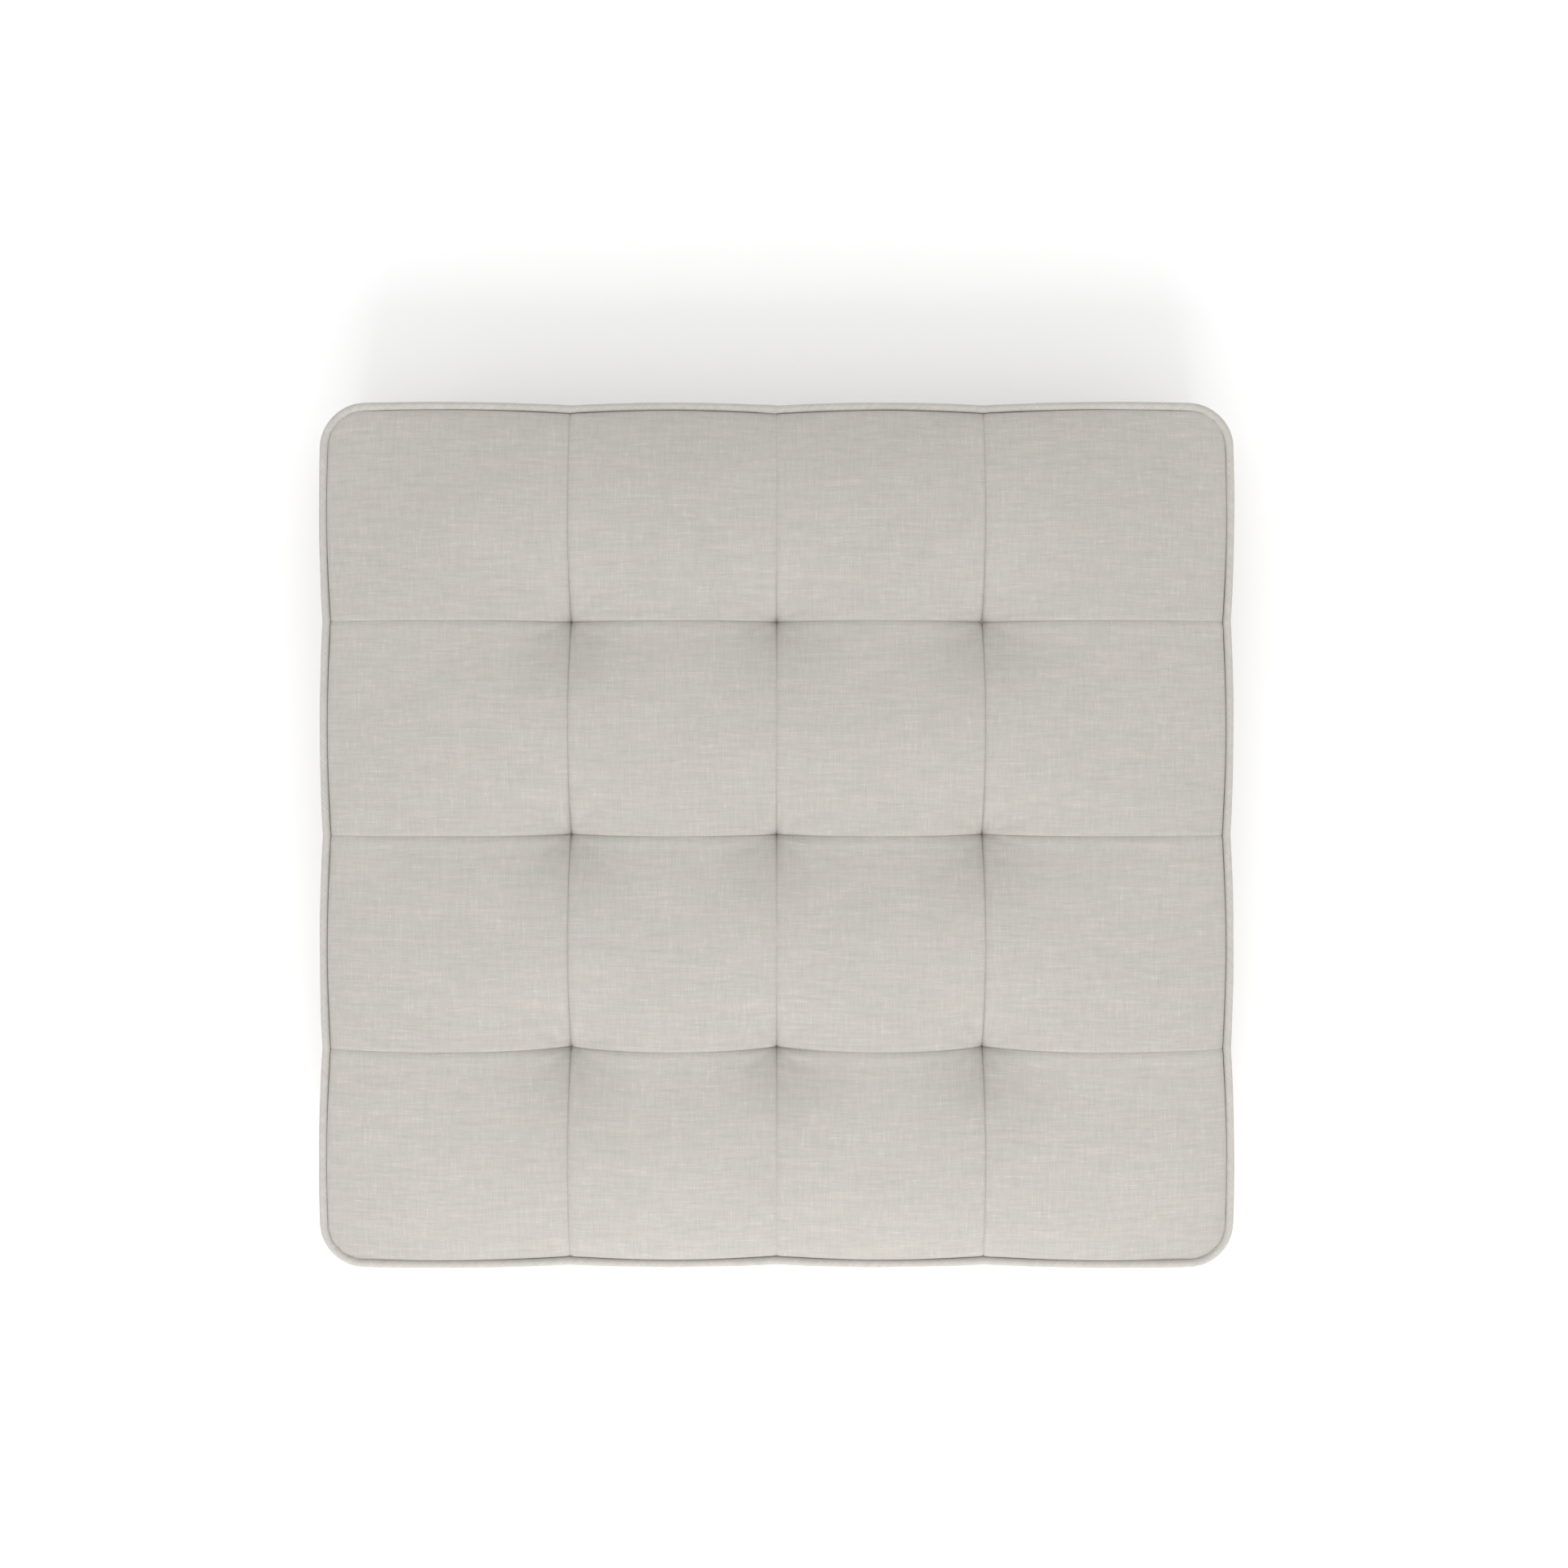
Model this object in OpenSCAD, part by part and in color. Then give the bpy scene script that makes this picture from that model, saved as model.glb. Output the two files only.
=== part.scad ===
// Tufted seat pad for an upholstered armchair.
// Loose boxed cushion with piping, nine blind tufts and a zip in its rear edge.
// Millimetres. The origin is under the middle of the pad, on what the pad lies on.
// Seen from above with the front edge nearest, +X is to the right and +Y to the rear. +Z is up.

/* [Overall] */
// Width between the sewn side edges
pad_w = 774; // [640:1:930]
// Depth between the sewn front and rear edges
pad_d = 732; // [600:1:880]
// Height from the middle of the bottom piping to the middle of the top piping
side_h = 112; // [92:1:136]
// Radius of the four corners, seen from above
corner_r = 32; // [26:1:44]

/* [Tufted top] */
// Distance between neighbouring seams that run from front to rear
col_pitch = 177; // [145:1:215]
// Distance between neighbouring seams that run from side to side
row_pitch = 183; // [150:1:220]
// Height of a tuft above the middle of the top piping
tuft_rise = 2; // [1:0.5:5]
// Height of the middle of a seam above its tufts
seam_rise = 18; // [12:1:24]
// Height of the middle of an inner panel above its tufts
panel_rise = 29; // [25:1:36]
// How much lower a panel's middle is for each side that lies on the pad's edge
edge_drop = 3; // [0:0.5:4]

/* [Cloth and piping] */
// Thickness of the upholstery cloth
cloth_t = 1.2; // [0.8:0.1:1.6]
// Diameter of the piping over its cloth
piping_d = 7; // [6:0.5:9]
// Thickness of the cloth round the piping cord
piping_cloth_t = 1; // [0.8:0.1:1.2]
// How far the middle of the piping stands outside the sewn edge
piping_out = 1.2; // [0.8:0.1:1.6]
// Length of the piping's sewing allowance inside the pad
allowance_l = 12; // [8:1:14]

/* [Filling] */
// Thickness of each fibre sheet under and in front of the foam
fibre_t = 8; // [6:1:10]
// Thickness of the soft foam sheet
topper_t = 25; // [20:1:30]

/* [Tufting] */
// Diameter of the tufting twine
twine_d = 2.4; // [1.6:0.2:3]
// Diameter of a base button over its cloth
button_d = 22; // [18:1:26]
// Height of a base button
button_h = 5.6; // [5.4:0.2:7]

/* [Zip] */
// Distance from a rear corner's joint to the end of the zip's chain
zip_inset = 25; // [24:1:80]
// Width of the closed chain
chain_w = 6; // [5:0.5:7]
// Thickness of the chain
chain_t = 2; // [1.8:0.1:2.4]
// Width of one zip tape
tape_w = 15; // [12:1:18]
// Thickness of a zip tape
tape_t = 0.7; // [0.5:0.1:0.8]
// Length of the slider
slider_l = 12; // [10:0.5:14]
// Length of the pull beyond its pin
pull_l = 22; // [16:1:28]

/* [Base] */
// Distance from a hook strip's end to the sewn side edge
strip_inset = 77; // [50:1:120]
// Width of a hook strip
strip_w = 25; // [20:1:50]
// Thickness of a hook strip with its hooks
strip_t = 1.6; // [1.2:0.1:2.4]
// Width of the care label
label_w = 40; // [30:1:50]
// Length of the care label that hangs out of its seam
label_l = 30; // [20:1:34]

/* [Hidden] */
// Clearance between neighbouring pieces
gap = 0.3;
// Clearance between sewn edges of cloth
seam_gap = 0.3;
// How far the solids that make up one casting reach into each other
weld = 0.1;
// Facets round a full circle
$fn = 96;

// Heights of the layers, from the floor up
base_z = strip_t;
base_top_z = base_z + cloth_t;
piping_lift = 0.9;
bottom_piping_z = base_z + piping_d / 2 + piping_lift;
top_piping_z = bottom_piping_z + side_h;
zip_z = (bottom_piping_z + top_piping_z) / 2;
lower_fibre_z = base_top_z + gap;
core_z = lower_fibre_z + fibre_t + gap;
upper_fibre_z = top_piping_z - allowance_l;
topper_z = upper_fibre_z - gap - topper_t;

// Distances outside the sewn edge, so negative ones are inside it
fill_u = piping_out - piping_d / 2 - gap;
allowance_u = piping_out - piping_d / 2;
wall_in_u = -cloth_t / 2;
wall_out_u = cloth_t / 2;
wall_to_piping = piping_d / 2 + gap;
tape_u = wall_in_u - gap;
chain_u = tape_u - tape_t / 2;
plate_t = 1;
slider_in_u = chain_u - chain_t / 2 - gap - plate_t;
foam_rear_u = slider_in_u - gap;

// The seams' crossings, and the lines that bound the panels
COLS = 4;
ROWS = 4;
seam_x = [-col_pitch, 0, col_pitch];
seam_y = [-row_pitch, 0, row_pitch];
line_x = concat([-pad_w / 2 - fill_u], seam_x, [pad_w / 2 + fill_u]);
line_y = concat([-pad_d / 2 - fill_u], seam_y, [pad_d / 2 + fill_u]);

// Heights that shape the tufted top
edge_z = top_piping_z + cloth_t / 2;
tuft_z = top_piping_z + tuft_rise;
// Below 1, the cloth leaves its seams more steeply
pinch = 0.62;
// Steps across one panel
STEPS = 8;

// Base buttons and their dishes
dish_slope_w = 4.5;
dish_floor_room = 1.5;
dish_floor_r = button_d / 2 + dish_floor_room;
dish_r = dish_floor_r + dish_slope_w;
dish_headroom = 1.4;
dish_h = button_h + dish_headroom;
button_lift = 0.2;
button_z = base_z + button_lift;
needle_r = twine_d / 2 + gap;
loop_r = 3;
loop_wire_d = 1;
loop_depth = 1;
loop_z = tuft_z - cloth_t - gap - loop_r - loop_wire_d / 2 - loop_depth;

// Zip
join_x = pad_w / 2 - corner_r;
join_y = pad_d / 2 - corner_r;
zip_l = 2 * (join_x - zip_inset);
row_gap = 1.2;
row_w = (chain_w - row_gap) / 2;
chain_margin = 2;
wall_gap = chain_w + 2 * chain_margin;
tape_end = 20;
tape_l = zip_l + 2 * tape_end;
stop_l = 3;
slider_side_w = 1.5;
slider_w = chain_w + 2 * slider_side_w;
slider_end_gap = 1;
slider_x = zip_l / 2 - slider_l / 2 - slider_end_gap;
slider_corner_r = 2;
flange_w = 1.1;
flange_inset = 2;
wedge_l = 3;
wedge_inset = 1;
pin_r = 0.7;
pin_slack = 0.2;
crown_w = 2.4;
crown_t = 0.8;
crown_l = 5.6;
crown_corner_r = 1.1;
crown_in_h = 2 * (pin_r + pin_slack);
crown_h = crown_in_h + crown_t;
slider_out_u = chain_u + chain_t / 2 + gap + plate_t;
pin_u = slider_out_u + pin_slack + pin_r;
pull_w = 7;
pull_corner_r = 2;
pull_heel_l = 2.5;
pull_hole_r = 2;
pull_hole_inset = 4.5;

// Hook strips lie midway between the outer dishes and the pad's edge
strip_l = pad_w - 2 * strip_inset;
strip_y = (row_pitch + dish_r + pad_d / 2 + fill_u) / 2;
label_t = 0.4;
label_x = -join_x + zip_inset + label_w / 2;

PANELS = [for (row = [1:ROWS], col = [1:COLS]) str("top_panel_r", row, "_c", col)];

// ---- Shape of the tufted top ----

function blend(a, b, t) = a + (b - a) * t;

// 0 at both ends of a side and 1 in its middle
function swell(t) = pow(max(0, sin(180 * t)), pinch);

function on_edge(k, last) = k == 0 || k == last;
function crossing_z(i, j) = on_edge(i, COLS) || on_edge(j, ROWS) ? edge_z : tuft_z;
function rise_x(i) = on_edge(i, COLS) ? 0 : seam_rise;
function rise_y(j) = on_edge(j, ROWS) ? 0 : seam_rise;

// A patch stretched between the four seams round panel (i, j)
function patch_z(i, j, s, t) =
  blend(blend(crossing_z(i, j), crossing_z(i + 1, j), s) + rise_y(j) * swell(s),
        blend(crossing_z(i, j + 1), crossing_z(i + 1, j + 1), s) + rise_y(j + 1) * swell(s), t)
  + blend(rise_x(i), rise_x(i + 1), s) * swell(t);

function edges_of(i, j) = (on_edge(i, COLS - 1) ? 1 : 0) + (on_edge(j, ROWS - 1) ? 1 : 0);
function peak_z(i, j) = tuft_z + panel_rise - edge_drop * edges_of(i, j);
function puff(i, j) = peak_z(i, j) - patch_z(i, j, 0.5, 0.5);

// Height of the cloth's outer face at (s, t) across panel (i, j)
function top_z(i, j, s, t) = patch_z(i, j, s, t) + puff(i, j) * swell(s) * swell(t);

// Finer steps beside the seams, where the cloth bends most
function ease(k) = (1 - cos(180 * k / STEPS)) / 2;

// Rounds the four corners: a point in a corner's square moves into its quarter circle
function corner_in(p, half_w, half_d, r) =
  let (a = max(0, abs(p.x) - (half_w - r)), b = max(0, abs(p.y) - (half_d - r)))
  let (a2 = a * sqrt(1 - b * b / (2 * r * r)), b2 = b * sqrt(1 - a * a / (2 * r * r)))
  [sign(p.x) * (abs(p.x) - a + a2), sign(p.y) * (abs(p.y) - b + b2)];

function inside_pad(p) = corner_in(p, pad_w / 2 + fill_u, pad_d / 2 + fill_u, corner_r + fill_u);

// One column of grid points per list entry; both faces of a sheet have the same layout
function grid_tris(n, m, first, flip) = [
  for (a = [0:n - 1], b = [0:m - 1], half = [0, 1])
    let (p = first + a * (m + 1) + b)
    let (q = p + m + 1)
    let (tri = half == 0 ? [p, p + 1, q + 1] : [p, q + 1, q])
    flip ? [tri[2], tri[1], tri[0]] : tri
];

// Rim of an n by m grid, walked once round
function rim(n, m) = concat(
  [for (a = [0:n - 1]) a * (m + 1)],
  [for (b = [0:m - 1]) n * (m + 1) + b],
  [for (a = [0:n - 1]) (n - a) * (m + 1) + m],
  [for (b = [0:m - 1]) m - b]
);

function rim_tris(n, m, below) = let (r = rim(n, m)) [
  for (k = [0:len(r) - 1], half = [0, 1])
    let (p = r[k])
    let (q = r[(k + 1) % len(r)])
    half == 0 ? [p, q, q + below] : [p, q + below, p + below]
];

// Closed sheet from its upper points and its lower points
module sheet(upper, lower, n, m) {
  count = (n + 1) * (m + 1);
  polyhedron(
    points = concat(upper, lower),
    faces = concat(grid_tris(n, m, 0, false), grid_tris(n, m, count, true), rim_tris(n, m, count))
  );
}

// ---- Outlines and runs round the pad ----

// The pad's outline, moved outwards by u
module outline(u) {
  square([pad_w + 2 * u, pad_d - 2 * corner_r], center = true);
  square([pad_w - 2 * corner_r, pad_d + 2 * u], center = true);
  for (x = [-1, 1], y = [-1, 1]) {
    translate([x * (pad_w / 2 - corner_r), y * (pad_d / 2 - corner_r)]) circle(r = corner_r + u);
  }
}

// Sweeps a section round the pad. In the section, x is the distance outside the sewn edge
// and y is the height.
module all_round() {
  for (side = [0:3]) {
    half_out = side % 2 == 0 ? pad_w / 2 : pad_d / 2;
    half_run = (side % 2 == 0 ? pad_d / 2 : pad_w / 2) - corner_r;
    rotate(side * 90) {
      translate([half_out, 0, 0]) rotate([90, 0, 0]) {
        linear_extrude(2 * half_run, center = true) children();
      }
      translate([half_out - corner_r, half_run, 0]) {
        rotate_extrude(angle = 90) translate([corner_r, 0]) children();
      }
    }
  }
}

module at_tufts() {
  for (x = seam_x, y = seam_y) translate([x, y, 0]) children();
}

module needle_holes() {
  at_tufts() translate([0, 0, -gap]) cylinder(r = needle_r, h = tuft_z + panel_rise);
}

// ---- Top: sixteen pieced panels ----

module top_panel(col, row) {
  i = col - 1;
  j = row - 1;
  half = seam_gap / 2;
  x0 = line_x[i] + (i == 0 ? 0 : half);
  x1 = line_x[i + 1] - (i == COLS - 1 ? 0 : half);
  y0 = line_y[j] + (j == 0 ? 0 : half);
  y1 = line_y[j + 1] - (j == ROWS - 1 ? 0 : half);
  upper = [for (a = [0:STEPS], b = [0:STEPS])
    let (s = ease(a))
    let (t = ease(b))
    let (p = inside_pad([blend(x0, x1, s), blend(y0, y1, t)]))
    [p.x, p.y, top_z(i, j, s, t)]];
  color("#c8c4bd") sheet(upper, [for (p = upper) [p.x, p.y, p.z - cloth_t]], STEPS, STEPS);
}

// ---- Piping ----

module piping_cover(z, inward) {
  color("#cfccc5") translate([0, 0, z]) all_round() {
    difference() {
      union() {
        translate([piping_out, 0]) circle(d = piping_d);
        translate([allowance_u, inward > 0 ? 0 : -allowance_l]) square([piping_cloth_t, allowance_l]);
      }
      translate([piping_out, 0]) circle(d = piping_d - 2 * piping_cloth_t);
    }
  }
}

module piping_cord(z) {
  color("#e6dfd0") translate([0, 0, z]) all_round() {
    translate([piping_out, 0]) circle(d = piping_d - 2 * piping_cloth_t - 2 * gap);
  }
}

module top_piping_cover() {
  piping_cover(top_piping_z, -1);
}

module top_piping_cord() {
  piping_cord(top_piping_z);
}

module bottom_piping_cover() {
  piping_cover(bottom_piping_z, 1);
}

module bottom_piping_cord() {
  piping_cord(bottom_piping_z);
}

// ---- Boxing: the cloth walls ----

module wall(z0, z1, low, high) {
  color("#c4c0b9") translate([0, 0, z0]) linear_extrude(z1 - z0) intersection() {
    difference() {
      outline(wall_out_u);
      outline(wall_in_u);
    }
    translate(low) square(high - low);
  }
}

wall_low_z = bottom_piping_z + wall_to_piping;
wall_high_z = top_piping_z - wall_to_piping;

module front_boxing() {
  wall(wall_low_z, wall_high_z, [-pad_w, -pad_d], [pad_w, -join_y - seam_gap]);
}

module left_boxing() {
  wall(wall_low_z, wall_high_z, [-pad_w, -join_y], [-join_x - seam_gap, pad_d]);
}

module right_boxing() {
  wall(wall_low_z, wall_high_z, [join_x + seam_gap, -join_y], [pad_w, pad_d]);
}

module rear_boxing_upper() {
  wall(zip_z + wall_gap / 2, wall_high_z, [-join_x, 0], [join_x, pad_d]);
}

module rear_boxing_lower() {
  wall(wall_low_z, zip_z - wall_gap / 2, [-join_x, 0], [join_x, pad_d]);
}

// ---- Base cloth, drawn up into a dish round each button ----

module base_cloth() {
  color("#b9b4ab") difference() {
    union() {
      translate([0, 0, base_z]) linear_extrude(cloth_t) difference() {
        outline(wall_in_u - piping_cloth_t / 2);
        at_tufts() circle(r = dish_r - cloth_t / 2);
      }
      at_tufts() rotate_extrude() polygon([
        [0, base_z + dish_h],
        [dish_floor_r, base_z + dish_h],
        [dish_r - cloth_t, base_z],
        [dish_r, base_z],
        [dish_r, base_z + cloth_t],
        [dish_floor_r + cloth_t, base_z + dish_h + cloth_t],
        [0, base_z + dish_h + cloth_t]
      ]);
    }
    needle_holes();
  }
}

// ---- Filling ----

// Fibre sheet that fills the tufted top
module upper_fibre() {
  n = COLS * STEPS;
  m = ROWS * STEPS;
  top = [for (a = [0:n], b = [0:m])
    let (i = min(COLS - 1, floor(a / STEPS)))
    let (j = min(ROWS - 1, floor(b / STEPS)))
    let (s = ease(a - i * STEPS))
    let (t = ease(b - j * STEPS))
    let (p = inside_pad([blend(line_x[i], line_x[i + 1], s), blend(line_y[j], line_y[j + 1], t)]))
    [p.x, p.y, top_z(i, j, s, t) - cloth_t - gap]];
  color("#f2f0ea") difference() {
    sheet(top, [for (p = top) [p.x, p.y, upper_fibre_z]], n, m);
    needle_holes();
    at_tufts() translate([0, 0, upper_fibre_z - gap]) {
      cylinder(r = loop_r + loop_wire_d / 2 + gap, h = tuft_z);
    }
  }
}

module front_fibre() {
  color("#f2f0ea") translate([-join_x, -pad_d / 2 - fill_u, core_z]) {
    cube([2 * join_x, fibre_t, upper_fibre_z - gap - core_z]);
  }
}

module dish_room() {
  at_tufts() cylinder(r = dish_r + gap, h = base_z + dish_h + cloth_t + gap);
}

module lower_fibre() {
  color("#f2f0ea") difference() {
    translate([0, 0, lower_fibre_z]) linear_extrude(fibre_t) outline(fill_u);
    needle_holes();
    dish_room();
  }
}

// Foam lies behind the front fibre and stays clear of the zip
module foam(z, t) {
  color("#f3e3b3") difference() {
    translate([0, 0, z]) linear_extrude(t) intersection() {
      outline(fill_u);
      translate([-pad_w, -pad_d / 2 - fill_u + fibre_t + gap]) {
        square([2 * pad_w, pad_d + fill_u - fibre_t - gap + foam_rear_u]);
      }
    }
    needle_holes();
    dish_room();
  }
}

module foam_topper() {
  foam(topper_z, topper_t);
}

module foam_core() {
  foam(core_z, topper_z - gap - core_z);
}

// ---- Tufting: twine with a loop under each crossing and a knot behind each button ----

button_back_t = 1.4;
button_back_inset = 0.2;
button_back_z = button_z + button_h - button_back_t - button_back_inset;
knot_r = 1.1;
knot_z = button_back_z - gap - knot_r;

module tufting_twines() {
  color("#ded6c2") at_tufts() {
    translate([0, 0, knot_z]) rotate_extrude() translate([twine_d / 2, 0]) circle(r = knot_r);
    translate([0, 0, knot_z - knot_r]) cylinder(d = twine_d, h = loop_z - loop_r - knot_z + knot_r);
    translate([0, 0, loop_z]) rotate([90, 0, 0]) {
      rotate_extrude() translate([loop_r, 0]) circle(d = loop_wire_d);
    }
  }
}

// Section of a shallow cup with a rounded foot
module cup_section(r, t, h, foot_r) {
  difference() {
    union() {
      square([r - foot_r, h]);
      translate([0, foot_r]) square([r, h - foot_r]);
      translate([r - foot_r, foot_r]) circle(r = foot_r);
    }
    translate([0, t]) union() {
      square([r - foot_r, h]);
      translate([0, foot_r - t]) square([r - t, h]);
      translate([r - foot_r, foot_r - t]) circle(r = foot_r - t);
    }
  }
}

button_cloth_t = 0.6;
cover_foot_r = 2;
shell_t = 0.5;
shell_foot_r = 1.4;
shell_inset = 1;
shell_r = button_d / 2 - button_cloth_t - gap / 3;

module base_button_covers() {
  color("#b9b4ab") at_tufts() translate([0, 0, button_z]) {
    rotate_extrude() cup_section(button_d / 2, button_cloth_t, button_h, cover_foot_r);
  }
}

module base_button_shells() {
  color("#c9ccd0") at_tufts() translate([0, 0, button_z + button_cloth_t + gap / 3]) {
    rotate_extrude() cup_section(shell_r, shell_t, button_h - shell_inset, shell_foot_r);
  }
}

module base_button_backs() {
  color("#d9d9d6") at_tufts() difference() {
    translate([0, 0, button_back_z]) {
      cylinder(r = shell_r - shell_t - gap / 3, h = button_back_t);
    }
    needle_holes();
  }
}

// ---- Zip in the rear edge ----

// Local frame on the rear edge: x along it, y outwards, z up from the zip's centre line
module on_rear() {
  translate([0, pad_d / 2, zip_z]) children();
}

module mirror_to(side) {
  mirror([0, 0, side > 0 ? 0 : 1]) children();
}

module zip_tape(side) {
  color("#d3cfc6") on_rear() mirror_to(side) {
    translate([-tape_l / 2, tape_u - tape_t, chain_w / 2]) cube([tape_l, tape_t, tape_w]);
  }
}

module zip_row(side) {
  color("#dad6cc") on_rear() mirror_to(side) {
    translate([-zip_l / 2, chain_u, chain_w / 2 - row_w / 2]) rotate([0, 90, 0]) linear_extrude(zip_l) {
      square([row_w, chain_t], center = true);
    }
  }
}

module zip_tape_upper() {
  zip_tape(1);
}

module zip_tape_lower() {
  zip_tape(-1);
}

module zip_row_upper() {
  zip_row(1);
}

module zip_row_lower() {
  zip_row(-1);
}

// Two stops beyond the closed end, one on each row, and one across both rows at the open end
module zip_stops() {
  color("#b8b9ba") on_rear() {
    for (side = [-1, 1]) mirror_to(side) {
      translate([zip_l / 2 + gap, chain_u - chain_t / 2, row_gap / 2]) cube([stop_l, chain_t, row_w]);
    }
    translate([-zip_l / 2 - gap - stop_l, chain_u - chain_t / 2, -chain_w / 2]) {
      cube([stop_l, chain_t, chain_w]);
    }
  }
}

// A rectangle with round corners, in the plane of the rear edge
module rounded(l, w, r) {
  square([l - 2 * r, w], center = true);
  square([l, w - 2 * r], center = true);
  for (x = [-1, 1], y = [-1, 1]) translate([x * (l / 2 - r), y * (w / 2 - r)]) circle(r = r);
}

// Gives a shape drawn in x and z the thickness t, from u outwards
module plate(u, t) {
  translate([0, u + t, 0]) rotate([90, 0, 0]) linear_extrude(t) children();
}

module slider_edges(u, t) {
  for (side = [-1, 1]) translate([0, 0, side * (slider_w - flange_w) / 2]) {
    plate(u, t) square([slider_l - 2 * flange_inset, flange_w], center = true);
  }
}

// The crown arches over the pull's pin. Its section is drawn in x and u.
module crown() {
  linear_extrude(crown_w) difference() {
    union() {
      translate([-crown_l / 2, -weld]) square([crown_l, crown_h - crown_corner_r + weld]);
      translate([-crown_l / 2 + crown_corner_r, -weld]) {
        square([crown_l - 2 * crown_corner_r, crown_h + weld]);
      }
      for (x = [-1, 1]) {
        translate([x * (crown_l / 2 - crown_corner_r), crown_h - crown_corner_r]) circle(r = crown_corner_r);
      }
    }
    translate([-pin_r - 2 * pin_slack, -2 * weld]) {
      square([2 * pin_r + 4 * pin_slack, crown_in_h + 2 * weld]);
    }
  }
}

module zip_slider() {
  inner_out_u = slider_in_u + plate_t;
  outer_in_u = slider_out_u - plate_t;
  color("#b8b9ba") on_rear() translate([slider_x, 0, 0]) {
    plate(slider_in_u, plate_t) rounded(slider_l, slider_w, slider_corner_r);
    plate(outer_in_u, plate_t) rounded(slider_l, slider_w, slider_corner_r);
    slider_edges(inner_out_u - weld, tape_u - tape_t - gap - inner_out_u + weld);
    slider_edges(tape_u + gap, outer_in_u - tape_u - gap + weld);
    translate([slider_l / 2 - wedge_inset - wedge_l / 2, 0, 0]) {
      plate(inner_out_u - weld, outer_in_u - inner_out_u + 2 * weld) {
        square([wedge_l, row_gap - 2 * gap], center = true);
      }
    }
    translate([0, slider_out_u, -crown_w / 2]) crown();
  }
}

// The pull's end bar passes under the slider's crown and is the pin it turns on
module zip_pull() {
  window_l = crown_l / 2 + gap;
  color("#b8b9ba") on_rear() translate([slider_x, pin_u, 0]) {
    translate([0, 0, -pull_w / 2]) cylinder(r = pin_r, h = pull_w);
    plate(-pin_r, 2 * pin_r) difference() {
      union() {
        translate([-pull_l / 2, 0]) rounded(pull_l, pull_w, pull_corner_r);
        translate([-pull_heel_l, -pull_w / 2]) square([pull_heel_l, pull_w]);
      }
      translate([-window_l, -crown_w / 2 - gap]) square([window_l + pin_r + weld, crown_w + 2 * gap]);
      translate([-pull_l + pull_hole_inset, 0]) circle(r = pull_hole_r);
    }
  }
}

// ---- Base: hook strips, and the label ----

module hook_strip(y) {
  color("#e4e1da") translate([-strip_l / 2, y - strip_w / 2, 0]) cube([strip_l, strip_w, strip_t]);
}

module front_hook_strip() {
  hook_strip(-strip_y);
}

module rear_hook_strip() {
  hook_strip(strip_y);
}

// Blank satin label, sewn in under the zip and hanging down the rear edge
module care_label() {
  color("#f4f3ef") on_rear() {
    translate([label_x - label_w / 2, wall_out_u + gap, -wall_gap / 2 - label_l]) {
      cube([label_w, label_t, label_l]);
    }
  }
}

for (row = [1:ROWS], col = [1:COLS]) {
  top_panel(col, row);
}
top_piping_cover();
top_piping_cord();
bottom_piping_cover();
bottom_piping_cord();
front_boxing();
left_boxing();
right_boxing();
rear_boxing_upper();
rear_boxing_lower();
base_cloth();
upper_fibre();
front_fibre();
lower_fibre();
foam_topper();
foam_core();
tufting_twines();
base_button_covers();
base_button_shells();
base_button_backs();
zip_tape_upper();
zip_tape_lower();
zip_row_upper();
zip_row_lower();
zip_stops();
zip_slider();
zip_pull();
front_hook_strip();
rear_hook_strip();
care_label();
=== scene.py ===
import math

import bmesh
import bpy
import numpy as np
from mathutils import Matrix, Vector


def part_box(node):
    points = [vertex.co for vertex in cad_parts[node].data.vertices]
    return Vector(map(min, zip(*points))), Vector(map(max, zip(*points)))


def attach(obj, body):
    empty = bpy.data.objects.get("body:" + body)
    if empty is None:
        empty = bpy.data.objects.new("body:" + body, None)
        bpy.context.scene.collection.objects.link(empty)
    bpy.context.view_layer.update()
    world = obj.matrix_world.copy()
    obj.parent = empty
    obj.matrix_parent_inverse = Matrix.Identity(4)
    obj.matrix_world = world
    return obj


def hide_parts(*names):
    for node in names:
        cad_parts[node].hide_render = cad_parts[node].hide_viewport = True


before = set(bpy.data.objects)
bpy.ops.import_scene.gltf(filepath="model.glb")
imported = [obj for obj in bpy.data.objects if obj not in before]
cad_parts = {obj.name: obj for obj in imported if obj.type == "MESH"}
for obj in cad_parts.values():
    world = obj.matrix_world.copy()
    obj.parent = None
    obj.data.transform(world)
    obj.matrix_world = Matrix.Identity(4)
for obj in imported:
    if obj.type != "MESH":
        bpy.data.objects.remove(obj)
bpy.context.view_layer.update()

# ---- Camera, floor and lights ----
# A camera straight above the pad with its top edge to the rear, a pale floor that the pad lies on,
# and large soft lights: one from the front, a weaker one from each side, and a bright sky.

CAMERA_HEIGHT = 1.6587
CAMERA_BEHIND_MIDDLE = 0.100


def placed(name, data):
    """An object in the scene that carries a mesh, a light or a camera."""
    thing = bpy.data.objects.new(name, data)
    bpy.context.scene.collection.objects.link(thing)
    return thing


camera_data = bpy.data.cameras.new("camera")
camera_data.sensor_width = 36.0
camera_data.lens = 41.27
camera_data.shift_x = 0.0047
camera_data.shift_y = -0.0419
camera = placed("camera", camera_data)
camera.location = (0, CAMERA_BEHIND_MIDDLE, CAMERA_HEIGHT)
bpy.context.scene.camera = camera
bpy.context.scene.view_settings.view_transform = "Standard"


def linear(code):
    """An sRGB hex colour as linear red, green, blue and alpha."""
    parts = [int(code[k : k + 2], 16) / 255 for k in (1, 3, 5)]
    return tuple(c / 12.92 if c <= 0.04045 else ((c + 0.055) / 1.055) ** 2.4 for c in parts) + (1.0,)


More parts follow.
